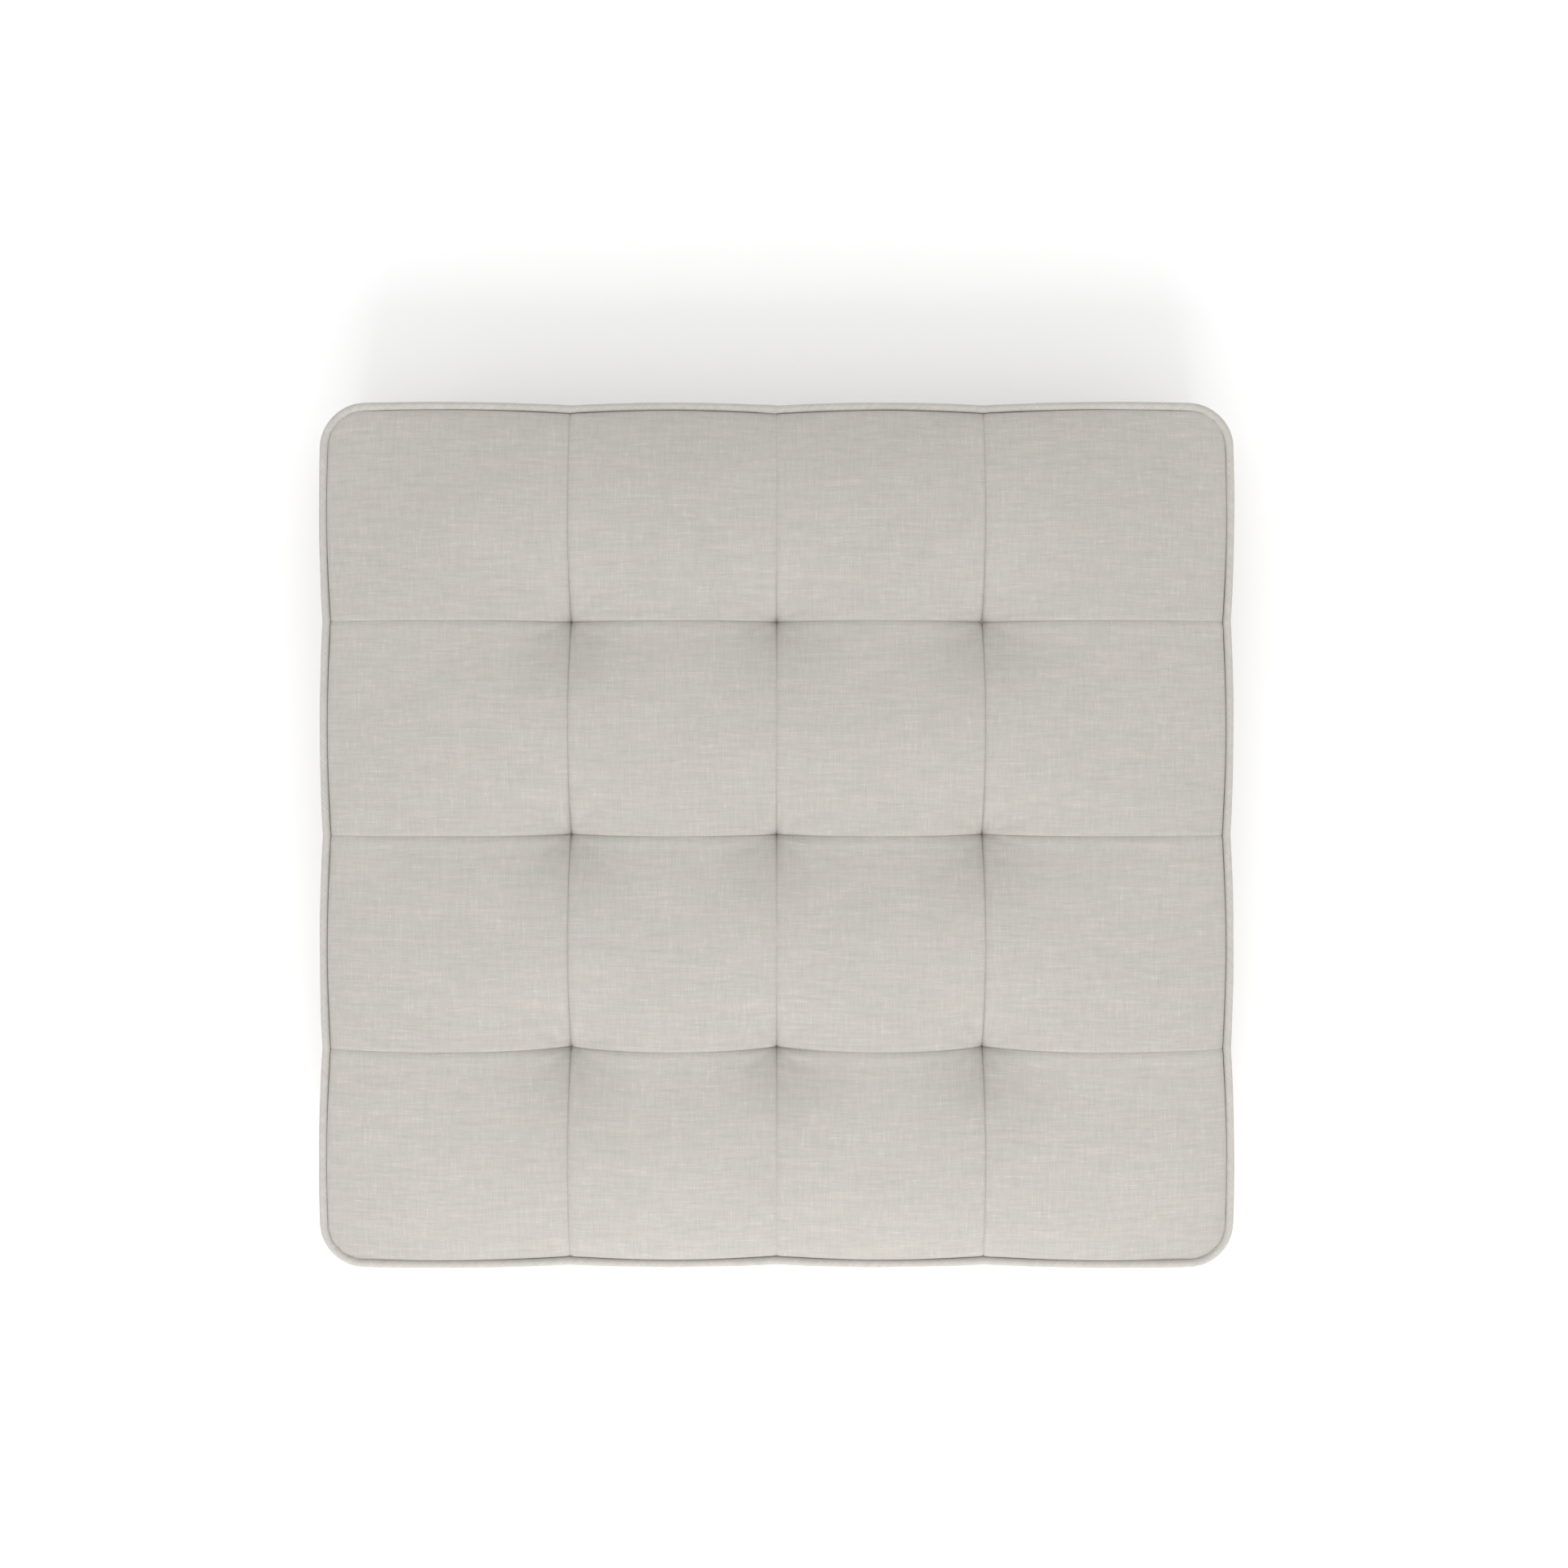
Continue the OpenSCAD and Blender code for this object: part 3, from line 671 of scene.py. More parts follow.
def linen(name, shade, light, tint):
    material, tree, shader = new_finish(name)
    place = add(tree, "Attribute", attribute_name="cloth").outputs["Vector"]
    warped = add(tree, "TexNoise", {"Vector": place, "Scale": 60.0, "Detail": 1.0})
    sway = add(
        tree,
        "VectorMath",
        {0: warped.outputs["Color"], 1: (THREAD_SWAY, THREAD_SWAY, 0.0), 2: place},
        operation="MULTIPLY_ADD",
    )
    threads = add(tree, "VectorMath", {0: sway, "Scale": 1 / THREAD_PITCH}, operation="SCALE")
    turned = add(tree, "VectorMath", {0: threads, "Scale": math.pi}, operation="SCALE")
    wave = add(tree, "VectorMath", {0: turned}, operation="SINE")
    humps = add(tree, "VectorMath", {0: wave}, operation="ABSOLUTE")
    wave_part = add(tree, "SeparateXYZ", {"Vector": wave})
    hump_part = add(tree, "SeparateXYZ", {"Vector": humps})
    over = add(tree, "Math", {0: wave_part.outputs["X"], 1: wave_part.outputs["Y"]}, operation="MULTIPLY")
    weft_up = add(tree, "Math", {0: over, 1: 0.35, 2: 0.65}, operation="MULTIPLY_ADD")
    warp_up = add(tree, "Math", {0: over, 1: -0.35, 2: 0.65}, operation="MULTIPLY_ADD")
    weft = add(tree, "Math", {0: hump_part.outputs["Y"], 1: weft_up}, operation="MULTIPLY")
    warp = add(tree, "Math", {0: hump_part.outputs["X"], 1: warp_up}, operation="MULTIPLY")
    height = add(tree, "Math", {0: weft, 1: warp}, operation="MAXIMUM")
    weft_shows = add(tree, "Math", {0: over, 1: 0.5, 2: 0.5}, operation="MULTIPLY_ADD")

    thread_id = add(tree, "VectorMath", {0: threads}, operation="FLOOR")
    place_part = add(tree, "SeparateXYZ", {"Vector": place})
    id_part = add(tree, "SeparateXYZ", {"Vector": thread_id})

    def slubs(run, thread, length, seed):
        """Thick and thin stretches of single threads, each about as long as length."""
        far = add(tree, "Math", {0: run, 1: 1 / length}, operation="MULTIPLY")
        which = add(tree, "Math", {0: thread, 1: 3.7}, operation="MULTIPLY")
        spot = add(tree, "CombineXYZ", {"X": far, "Y": which, "Z": seed})
        return add(tree, "TexNoise", {"Vector": spot, "Scale": 1.0, "Detail": 2.0})

    weft_tone = slubs(place_part.outputs["X"], id_part.outputs["Y"], WEFT_SLUB, 1.5)
    warp_tone = slubs(place_part.outputs["Y"], id_part.outputs["X"], WARP_SLUB, 8.5)
    thread_tone = add(tree, "MixRGB", {"Fac": weft_shows, "Color1": warp_tone, "Color2": weft_tone})
    stretched = add(tree, "VectorMath", {0: place, 1: (22.0, 210.0, 0.0)}, operation="MULTIPLY")
    streak = add(tree, "TexNoise", {"Vector": stretched, "Scale": 1.0, "Detail": 3.0})
    slub = add(
        tree,
        "MapRange",
        {"Value": thread_tone, "From Min": 0.60, "From Max": 0.74, "To Min": 0.0, "To Max": 0.14},
    )
    tone = slub
    # The weave's height also goes into the tone, so the hollows between threads are darker: painted shade.
    # The slubs and streaks are the cloth's own tone.
    for source, amount in (
        (thread_tone, 0.72),
        (streak, 0.24),
        (height, 0.14),
    ):
        tone = add(tree, "Math", {0: source, 1: amount, 2: tone}, operation="MULTIPLY_ADD")
        tone = tone
    tone = add(tree, "Math", {0: tone, 1: -0.075}, operation="ADD", use_clamp=True)
    ground = add(tree, "MixRGB", {"Fac": tone, "Color1": linear(shade), "Color2": linear(light)})
    dye = add(
        tree,
        "MixRGB",
        {"Fac": 0.035, "Color1": ground, "Color2": weft_tone.outputs["Color"]},
        blend_type="OVERLAY",
    )
    drift = add(tree, "VectorMath", {0: place, 1: (14.0, 60.0, 0.0)}, operation="MULTIPLY")
    patch = add(tree, "TexNoise", {"Vector": drift, "Scale": 1.0, "Detail": 2.0})
    share = add(
        tree,
        "MapRange",
        {"Value": patch, "From Min": 0.45, "From Max": 0.75, "To Min": 0.0, "To Max": 0.14},
    )
    colour = add(tree, "MixRGB", {"Fac": share, "Color1": dye, "Color2": linear(tint)})
    bump = add(tree, "Bump", {"Height": height, "Strength": 0.35, "Distance": 0.0003})
    wear(
        shader,
        tree,
        colour,
        bump,
        Roughness=0.9,
        Specular_IOR_Level=0.2,
        Sheen_Weight=0.12,
        Sheen_Roughness=0.5,
    )
    return material


linen_cloth = linen("linen_look_upholstery", "#9b9892", "#c8c4be", "#c2b5a6")
for i in range(COLS):
    for j in range(ROWS):
        points, flat = finished_panel(i, j)
        lead = np.array([0.31 * i + 0.05 * j, 0.17 * j + 0.07 * i])
        panel = cloth_sheet(f"top_cloth_r{j + 1}_c{i + 1}", [(points, flat + lead)], CLOTH)
        dress(panel, linen_cloth)
        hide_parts(panel_node(i, j))


# ---- Fibre under the top ----
# A thick sheet of the same wadding fills the tufted top, pressed thin at the tufts and the seams.
# It lies loose on the foam, just under the cloth.

FIBRE_ROOM = 0.0024
SEAM_ROOM = 0.0016
PRESSED_FIBRE = 0.0002
SEAM_REACH = 0.006
FIBRE_SHARE = np.array([0.994, 0.994, 1.0])
BLOCK_CREASE = 50


def closed_block(name, top, bottom_z):
    """A closed solid between a grid of points and a flat underside at a given height."""
    bottom = top.copy()
    bottom[..., 2] = bottom_z
    points = np.vstack([top.reshape(-1, 3), bottom.reshape(-1, 3)])
    return new_piece(name, points, np.vstack(closed_faces(*top.shape[:2])).tolist(), BLOCK_CREASE)


wide_x, wide_y = np.meshgrid(flat_x, flat_y, indexing="ij")
nearest_seam = np.full(wide_x.shape, 1.0)
for gap in [np.abs(wide_x - x) for x in line_x[1:-1]] + [np.abs(wide_y - y) for y in line_y[1:-1]]:
    nearest_seam = np.minimum(nearest_seam, gap)
fibre_top = skin_top.copy()
fibre_top[..., 2] += sewn_lift(wide_x, wide_y) - FIBRE_ROOM - SEAM_ROOM * np.exp(-nearest_seam / SEAM_REACH)
fibre_top = drawn_in(fibre_top * FIBRE_SHARE)
fibre_low = node_box("upper_fibre")[0][2]
fibre_top[..., 2] = np.maximum(fibre_top[..., 2], fibre_low + PRESSED_FIBRE)
upper_fill = closed_block("upper_fibre_fill", fibre_top, fibre_low)
dress(upper_fill, polyester_wadding)
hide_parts("upper_fibre")


# ---- Piping ----
# A bias-cut strip of the linen folded round a cotton cord, sewn in with the top's and the base's
# edges. Its linen is painted lighter than the top's, as painted light against the shade on the
# piping. Its ends meet at the middle of the rear, one turned over the other.

PIPING_CLOTH = 0.0008
PIPING_STEP = 0.0035
CORD_R = 0.0026
PIPING_SEED = 11
LAP = 0.014
LAP_RISE = 0.10
LAP_SLOPE = 0.004
UNEVEN = 0.012
UNEVEN_SPOTS = 160
WANDER = 0.0003
WANDER_SCALE = 1.7
CORD_TWIST = 0.02
CORD_PLY = 0.06


def lengths_along(points):
    """How far along a line each of its points is."""
    return np.concatenate([[0], np.cumsum(np.linalg.norm(np.diff(points, axis=0), axis=1))])


def resampled(points, step):
    """A closed line of points at even steps, from its first point round to it again."""
    ring = np.vstack([points, points[:1]])
    far = lengths_along(ring)
    at = np.linspace(0, far[-1], int(far[-1] / step) + 1)
    return np.stack([np.interp(at, far, ring[:, k]) for k in range(3)], axis=-1), at


def sewn_run(z):
    """The middle line of the piping at a height, from the rear's middle round and back to it."""
    start = int(np.argmin(np.hypot(outline[:, 0], outline[:, 1] - half_d)))
    line = outline.copy()
    line[:, :2] += out * (piping_x - half_w)
    line[:, 2] = z
    path, far = resampled(drawn_in(np.roll(line, -start, axis=0)), PIPING_STEP)
    drift = soft_waves(path[:, 0] * WANDER_SCALE, path[:, 1] * WANDER_SCALE)
    path[:, 2] += WANDER * (drift - drift[0])
    return path, far


def away_from(path):
    """Level directions that point out of a closed path."""
    ahead = np.roll(path[:-1], -1, axis=0) - np.roll(path[:-1], 1, axis=0)
    ahead = np.vstack([ahead, ahead[:1]])
    ahead[:, 2] = 0
    ahead /= np.linalg.norm(ahead, axis=1, keepdims=True)
    return np.stack([ahead[:, 1], -ahead[:, 0], np.zeros(len(ahead))], axis=-1)


def piping_strip(z, hang, seed):
    """The strip's outer face round the cord. Its allowances reach down where hang is -1, up for 1."""
    path, far = sewn_run(z)
    away = away_from(path)
    turn = np.radians(np.linspace(-166, 180, 21))
    out_u = np.concatenate([[-0.80, -0.86], np.cos(turn), [-1.0, -1.0]]) * PIPING_R
    up = np.concatenate([[-3.1, -1.2], np.sin(turn), [-1.4, -3.1]]) * PIPING_R
    if hang > 0:
        out_u, up = out_u[::-1], -up[::-1]
    chance = np.random.default_rng(seed)
    spots = np.linspace(0, far[-1], UNEVEN_SPOTS)
    swollen = np.interp(far, spots, chance.normal(0, UNEVEN, UNEVEN_SPOTS))
    lap = LAP_RISE * np.clip((LAP - far) / LAP_SLOPE, 0, 1)
    size = (1 + swollen + lap)[:, None]
    round_part = np.hypot(out_u, up) < 1.1 * PIPING_R
    scale = np.where(round_part[None, :], size, 1.0)
    grid = path[:, None, :] + away[:, None, :] * (out_u[None, :] * scale)[..., None]
    grid[..., 2] += up[None, :] * scale
    run = np.concatenate([[0], np.cumsum(np.hypot(np.diff(out_u), np.diff(up)))])
    a, b = np.meshgrid(far, run, indexing="ij")
    return grid, np.stack([a + b, b - a], axis=-1) / math.sqrt(2), far[-1], run[-1]


def sewn_cord(name, z):
    """The cord inside the piping: a closed ring of twisted cotton."""
    path, far = sewn_run(z)
    away = away_from(path)
    turn = np.linspace(0, 2 * np.pi, 13)[:-1]
    twist = 2 * np.pi * far[:-1, None] / (far[-1] / round(far[-1] / CORD_TWIST)) + turn[None, :]
    size = CORD_R * (1 - CORD_PLY + CORD_PLY * np.cos(3 * turn[None, :]))
    ring = path[:-1, None, :] + away[:-1, None, :] * (size * np.cos(twist))[..., None]
    ring[..., 2] += size * np.sin(twist)
    count, sides = ring.shape[:2]
    at = np.arange(count * sides).reshape(count, sides)
    ahead_at = np.roll(at, -1, axis=0)
    faces = np.stack([at, ahead_at, np.roll(ahead_at, -1, axis=1), np.roll(at, -1, axis=1)], axis=-1)
    return new_piece(name, ring.reshape(-1, 3), faces.reshape(-1, 4).tolist())


def cotton(name, shade, light, turn_length):
    """Twisted cotton yarn: dull, off-white, with fine slanting lines."""
    material, tree, shader = new_finish(name)
    place = add(tree, "TexCoord").outputs["Object"]
    yarn = add(
        tree,
        "TexWave",
        {"Vector": place, "Scale": 0.3 / turn_length, "Distortion": 2.0},
        bands_direction="DIAGONAL",
    )
    colour = add(
        tree,
        "MixRGB",
        {"Fac": yarn.outputs["Fac"], "Color1": linear(shade), "Color2": linear(light)},
    )
    bump = add(tree, "Bump", {"Height": yarn.outputs["Fac"], "Strength": 0.6, "Distance": 0.0003})
    wear(shader, tree, colour, bump, Roughness=0.88, Specular_IOR_Level=0.2)
    return material


# The strip's linen colours are lighter than the top's: painted light that makes up for the shade falling on
# the piping.
bias_linen_painted_lighter = linen("linen_look_bias_strip", "#a19e98", "#cfcbc5", "#c6baac")
cotton_cord = cotton("twisted_cotton_cord", "#cdbf9f", "#ece4cf", 0.004)
for level, z, hang in (("top", top_piping_z, -1), ("bottom", bottom_piping_z, 1)):
    grid, flat, around, across = piping_strip(z, hang, PIPING_SEED)
    strip = cloth_sheet(f"{level}_piping_strip", [(grid, flat)], PIPING_CLOTH)
    dress(strip, bias_linen_painted_lighter)
    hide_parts(f"{level}_piping_cover")
    cord = sewn_cord(f"{level}_cord_ring", z)
    dress(cord, cotton_cord)
    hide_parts(f"{level}_piping_cord")


# ---- Boxing ----
# The cloth walls: one strip each for the front and the two sides, and two for the rear, whose
# edges are turned under and stitched beside the zip. They meet in upright seams near the corners.

HEM = 0.008
JOINT_GROOVE = 0.0012
EDGE_PUCKER = 0.00035
EDGE_PUCKER_PITCH = 0.016
EDGE_PUCKER_REACH = 0.012
WALL_WAVE = 0.0006
JOINT_REACH = 0.002

wall_points = drawn_in(skin_walls[::-1])
run_far = lengths_along(outline)


def loop_near(x, y):
    """The point of the outline nearest to a place."""
    return int(np.argmin(np.hypot(outline[:, 0] - x, outline[:, 1] - y)))


def wall_grid(first, last, low, high):
    """Fine points of the wall between two points of the outline and two rows, counted upwards."""
    index = np.arange(first, last + 1) % len(loop)
    coarse = np.swapaxes(wall_points[low : high + 1][:, index], 0, 1)
    steps_a = np.linspace(0, len(index) - 1, 2 * len(index) - 1)
    steps_b = np.linspace(0, high - low, 3 * (high - low) + 1)
    curve_a = spline(len(index) - 1, steps_a)
    curve_b = spline(high - low, steps_b)
    points = np.einsum("ap,pqk,bq->abk", curve_a, coarse, curve_b)
    far = np.interp(steps_a, np.arange(len(index)), np.unwrap(run_far[index], period=run_far[-1]))
    away = np.einsum("ap,pk->ak", curve_a, out[index])
    run, z = far[:, None], points[..., 2]
    edge = np.minimum(z - wall_z[-3], wall_z[2] - z)
    near_edge = EDGE_PUCKER * np.exp(-np.maximum(0, edge) / EDGE_PUCKER_REACH)
    swell_out = near_edge * np.cos(2 * np.pi * run / EDGE_PUCKER_PITCH)
    swell_out += WALL_WAVE * soft_waves(run * 1.3 + z, z * 2.0) * np.clip(edge / WAVE_EDGE, 0, 1)
    for gap in (run - far[0], far[-1] - run):
        swell_out -= JOINT_GROOVE * np.exp(-gap / JOINT_REACH)
    points[..., :2] += away[:, None, :] * swell_out[..., None]
    up = np.stack([lengths_along(column) for column in points])
    return points, np.stack([np.broadcast_to(run, up.shape), up + 0.4], axis=-1), away


def hemmed(points, flat, away, at_top):
    """A wall whose edge at the zip is turned under. The turned part lies behind the wall."""
    edge, inward = (points[:, -1], 1) if at_top else (points[:, 0], -1)
    place = flat[:, -1] if at_top else flat[:, 0]
    # How far behind the wall and beyond its edge each turned row lies, and how far along the cloth
    turns = (
        (0.0003, 0.0003, 0.0005),
        (0.0008, 0.0004, 0.0010),
        (0.0013, 0.0, 0.0015),
        (0.0014, -HEM, HEM + 0.0015),
    )
    rows, places = [], []
    for back, beyond, far in turns:
        row = edge.copy()
        row[:, :2] -= away * back
        row[:, 2] += inward * beyond
        rows.append(row)
        places.append(place + np.array([0, inward * far]))
    order = slice(None) if at_top else slice(None, None, -1)
    rows = np.stack(rows[order], axis=1)
    places = np.stack(places[order], axis=1)
    if at_top:
        return np.concatenate([points, rows], axis=1), np.concatenate([flat, places], axis=1)
    return np.concatenate([rows, points], axis=1), np.concatenate([places, flat], axis=1)


side_y = node_box("left_boxing")[0][1]
front_left = loop_near(-half_w, side_y)
front_right = loop_near(half_w, side_y)
rear_right = loop_near(join_x, half_d)
rear_left = loop_near(-join_x, half_d)
last_row = len(wall_z) - 1
zip_row_low = last_row - zip_rows[-1]
zip_row_high = last_row - zip_rows[0]
walls = {
    "front_boxing": (front_left, front_right + len(loop), 0, last_row),
    "right_boxing": (front_right, rear_right, 0, last_row),
    "left_boxing": (rear_left, front_left, 0, last_row),
    "rear_boxing_lower": (rear_right, rear_left, 0, zip_row_low),
    "rear_boxing_upper": (rear_right, rear_left, zip_row_high, last_row),
}
wall_height = wall_z[0] - wall_z[-1]
for node, (first, last, low, high) in walls.items():
    points, flat, away = wall_grid(first, last, low, high)
    run = float(flat[-1, 0, 0] - flat[0, 0, 0])
    rise = wall_height
    if node.startswith("rear"):
        rise = (wall_height - (zip_high - zip_low)) / 2 + HEM
        points, flat = hemmed(points, flat, away, at_top=node.endswith("lower"))
    thickness = CLOTH / 2 if node.startswith("rear") else CLOTH
    wall = cloth_sheet(f"{node}_cloth", [(points, flat)], thickness)
    dress(wall, linen_cloth)
    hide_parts(node)


# ---- Base cloth ----
# One piece of plain-woven cotton closes the pad underneath. Each tuft's twine draws it up into a
# round dish, with short gathers about the rim.

BASE_OUT = 0.0016
DISH_R = 0.0166
DISH_FLOOR_R = 0.0120
DISH_H = 0.0070
GATHERS = 12
GATHER_H = 0.0004
GATHER_AT = 0.003
GATHER_W = 0.005
BASE_REACH = 0.01
COTTON_PITCH = 0.0011


def plain_cotton(name, shade, light):
    """Plain-woven cotton: flat, matt and even, with slightly uneven yarns. Drawn twice as coarse."""
    material, tree, shader = new_finish(name)
    place = add(tree, "Attribute", attribute_name="cloth").outputs["Vector"]
    turned = add(tree, "VectorMath", {0: place, "Scale": math.pi / COTTON_PITCH}, operation="SCALE")
    wave = add(tree, "VectorMath", {0: turned}, operation="SINE")
    part = add(tree, "SeparateXYZ", {"Vector": wave})
    over = add(tree, "Math", {0: part.outputs["X"], 1: part.outputs["Y"]}, operation="MULTIPLY")
    height = add(tree, "Math", {0: over}, operation="ABSOLUTE")
    yarns = add(tree, "VectorMath", {0: place, 1: (40.0, 700.0, 0.0)}, operation="MULTIPLY")
    uneven = add(tree, "TexNoise", {"Vector": yarns, "Scale": 1.0, "Detail": 2.0})
    # The weave's height lightens the yarn crowns and darkens the gaps between them: painted shade, mixed with
    # the yarns' own uneven tone.
    tone = add(tree, "Math", {0: height, 1: 0.4, 2: uneven}, operation="MULTIPLY_ADD", use_clamp=True)
    colour = add(tree, "MixRGB", {"Fac": tone, "Color1": linear(shade), "Color2": linear(light)})
    bump = add(tree, "Bump", {"Height": height, "Strength": 0.5, "Distance": 0.0002})
    wear(shader, tree, colour, bump, Roughness=0.92, Specular_IOR_Level=0.15)
    return material


DISH_STEPS = (0, 3, 6, 8, 9.6, 11.2, 12.8, 14.4, 16, 17.6, 19.2, 21.5, 26, 34, 46, 62, 80, 98)
RIM_STEPS = (0, 2, 4, 7, 10, 14, 19, 25, 32, 40, 52, 68, 86, 100)


def base_steps(lines):
    """Places across the base, close together round the dishes and at the rim. Steps are in mm."""
    places = []
    for line in lines:
        steps = RIM_STEPS if abs(line) == lines[-1] else DISH_STEPS
        for place in [line + way * step / 1000 for step in steps for way in (-1, 1)]:
            if abs(place) <= lines[-1] and np.min(np.abs(lines - place)) == abs(line - place):
                places.append(round(float(place), 6))
    return np.unique(places)


flat_a, flat_b = np.meshgrid(base_steps(line_x), base_steps(line_y)[::-1], indexing="ij")
base_grid = np.zeros(flat_a.shape + (3,))
base_grid[..., 0], base_grid[..., 1] = into_corners(flat_a, flat_b)
rim_gap = np.minimum(half_w - np.abs(flat_a), half_d - np.abs(flat_b))
base_grid[..., :2] += outwards(base_grid) * (BASE_OUT * np.exp(-rim_gap / BASE_REACH))[..., None]
base_grid[..., 2] = base_z
tufts = [(x, y) for x in line_x[1:-1] for y in line_y[1:-1]]
for x, y in tufts:
    r = np.hypot(flat_a - x, flat_b - y)
    turn = np.arctan2(flat_b - y, flat_a - x)
    share = np.clip((DISH_R - r) / (DISH_R - DISH_FLOOR_R), 0, 1)
    base_grid[..., 2] += DISH_H * share**2 * (3 - 2 * share)
    gathers = 0.5 + 0.5 * np.cos(GATHERS * turn)
    base_grid[..., 2] -= GATHER_H * bell(r - DISH_R, GATHER_AT, GATHER_W) * gathers
base_grid = drawn_in(base_grid)
cotton_base = plain_cotton("plain_cotton_base", "#a8a298", "#c9c4ba")
base = cloth_sheet("base_cloth_sheet", [(base_grid, np.stack([flat_a, flat_b], axis=-1))], CLOTH)
dress(base, cotton_base)
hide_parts("base_cloth")


# ---- Tufting ----
# Nine waxed twines run from a loop under each crossing down to a button on the base. A button is
# a tinned steel shell in a disc of base cloth, closed by a plastic back.

BUTTON_SHARE = 24
BUTTON_DOME = 0.0009
BUTTON_EDGE = 0.0020
BUTTON_CLOTH = 0.0006
BUTTON_DISC = 0.0160
DOME_SHARE = 0.62
BEND_SHARE = 0.13
DOME_ROUND = 2.4
BUTTON_TAPER = 0.0001
BUTTON_GATHER = 0.00012
BUTTON_GATHERS = 18
SCRATCHES = 0.15

covers_low, covers_high = node_box("base_button_covers")
button_r = covers_high[0] - line_x[-2]
button_low = covers_low[2]
button_high = covers_high[2]


def button_cover(x, y):
    """Points of a button's cloth, from a square stretched into a disc, and their flat places."""
    points = BUTTON_SHARE + 1
    a, b = np.meshgrid(np.linspace(-1, 1, points), np.linspace(1, -1, points), indexing="ij")
    disc_a, disc_b = a * np.sqrt(1 - b**2 / 2), b * np.sqrt(1 - a**2 / 2)
    share = np.hypot(disc_a, disc_b)
    turn = np.arctan2(disc_b, disc_a)
    on_dome = share < DOME_SHARE
    flat_r = button_r - BUTTON_EDGE
    bend = np.clip((share - DOME_SHARE) / BEND_SHARE, 0, 1) * np.pi / 2
    side = np.clip((share - DOME_SHARE - BEND_SHARE) / (1 - DOME_SHARE - BEND_SHARE), 0, 1)
    z = button_low - BUTTON_DOME * (1 - np.clip(share / DOME_SHARE, 0, 1) ** DOME_ROUND)
    z = z + BUTTON_EDGE * (1 - np.cos(bend)) + side * (button_high - button_low - BUTTON_EDGE)
    r = np.where(on_dome, share / DOME_SHARE * flat_r, flat_r + BUTTON_EDGE * np.sin(bend))
    r = r - BUTTON_TAPER * side**2 + BUTTON_GATHER * np.cos(BUTTON_GATHERS * turn) * side
    points = np.stack([x + r * np.cos(turn), y + r * np.sin(turn), z], axis=-1)
    return points, np.stack([x + disc_a * BUTTON_DISC, y + disc_b * BUTTON_DISC], axis=-1)


buttons = cloth_sheet("base_button_cloths", [button_cover(x, y) for x, y in tufts], BUTTON_CLOTH)
dress(buttons, cotton_base)
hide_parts("base_button_covers")


def metal(name, colour, roughness, grain):
    """A plated or cast metal: its colour barely varies, and fine wear breaks up its gloss."""
    material, tree, shader = new_finish(name)
    place = add(tree, "TexCoord").outputs["Object"]
    rub = add(tree, "TexNoise", {"Vector": place, "Scale": 1 / grain, "Detail": 4.0})
    gloss = add(tree, "MapRange", {"Value": rub, "To Min": roughness, "To Max": roughness + SCRATCHES})
    shade = add(tree, "VectorMath", {0: linear(colour)[:3], "Scale": 0.8}, operation="SCALE")
    tone = add(tree, "MixRGB", {"Fac": rub, "Color1": shade, "Color2": linear(colour)})
    bump = add(tree, "Bump", {"Height": rub, "Strength": 0.2, "Distance": 0.0001})
    wear(shader, tree, tone, bump, Metallic=1.0)
    tree.links.new(gloss.outputs[0], shader.inputs["Roughness"])
    return material


def moulded(name, colour, roughness, grain=0.0008):
    """A moulded plastic: one colour with a faint mould grain and a soft gloss."""
    material, tree, shader = new_finish(name)
    place = add(tree, "TexCoord").outputs["Object"]
    skin = add(tree, "TexNoise", {"Vector": place, "Scale": 1 / grain, "Detail": 2.0})
    shade = add(tree, "VectorMath", {0: linear(colour)[:3], "Scale": 0.88}, operation="SCALE")
    tone = add(tree, "MixRGB", {"Fac": skin, "Color1": shade, "Color2": linear(colour)})
    bump = add(tree, "Bump", {"Height": skin, "Strength": 0.15, "Distance": 0.0001})
    wear(shader, tree, tone, bump, Roughness=roughness, IOR=1.5)
    return material


waxed_twine = cotton("waxed_tufting_twine", "#b9aa88", "#e3d8bd", 0.003)
tinned_steel = metal("tinned_steel", "#c9ccd0", 0.25, 0.002)
moulded_nylon = moulded("moulded_nylon", "#dcdcd8", 0.4)
for node, material in (
    ("base_button_shells", tinned_steel),
    ("base_button_backs", moulded_nylon),
):
    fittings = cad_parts[node]
    fittings.data.materials.clear()
    fittings.data.materials.append(material)

# The twine: up from a knot behind the button, and round in a loop under the crossing
TWINE_PLY = 0.0007
TWINE_LAY = 0.009
LOOP_R = 0.003
LOOP_BELOW = 0.0058
KNOT_R = 0.0016
PLIES = 3
PLY_SIDES = 6


def thread_mesh(path, radius, sides, first=0):
    """Points and faces of a round thread that follows a path of points."""
    ahead = np.gradient(path, axis=0)
    ahead /= np.linalg.norm(ahead, axis=1, keepdims=True)
    level = np.cross(ahead, np.array([1.0, 0.0, 0.0]))
    level /= np.linalg.norm(level, axis=1, keepdims=True)
    upright = np.cross(level, ahead)
    turn = np.linspace(0, 2 * np.pi, sides, endpoint=False)
    ring = path[:, None, :] + radius * (
        level[:, None, :] * np.cos(turn)[None, :, None] + upright[:, None, :] * np.sin(turn)[None, :, None]
    )
    at = first + np.arange(len(path) * sides).reshape(-1, sides)
    ahead_at = np.roll(at, -1, axis=1)
    faces = np.stack([at[:-1], ahead_at[:-1], ahead_at[1:], at[1:]], axis=-1).reshape(-1, 4).tolist()
    faces += [at[0][::-1].tolist(), at[-1].tolist()]
    return ring.reshape(-1, 3), faces


def threads_piece(name, paths, radius, sides):
    """One piece made of round threads that follow paths."""
    points, faces = [], []
    for path in paths:
        more_points, more_faces = thread_mesh(path, radius, sides, sum(len(p) for p in points))
        points.append(more_points)
        faces += more_faces
    return new_piece(name, np.vstack(points), faces)


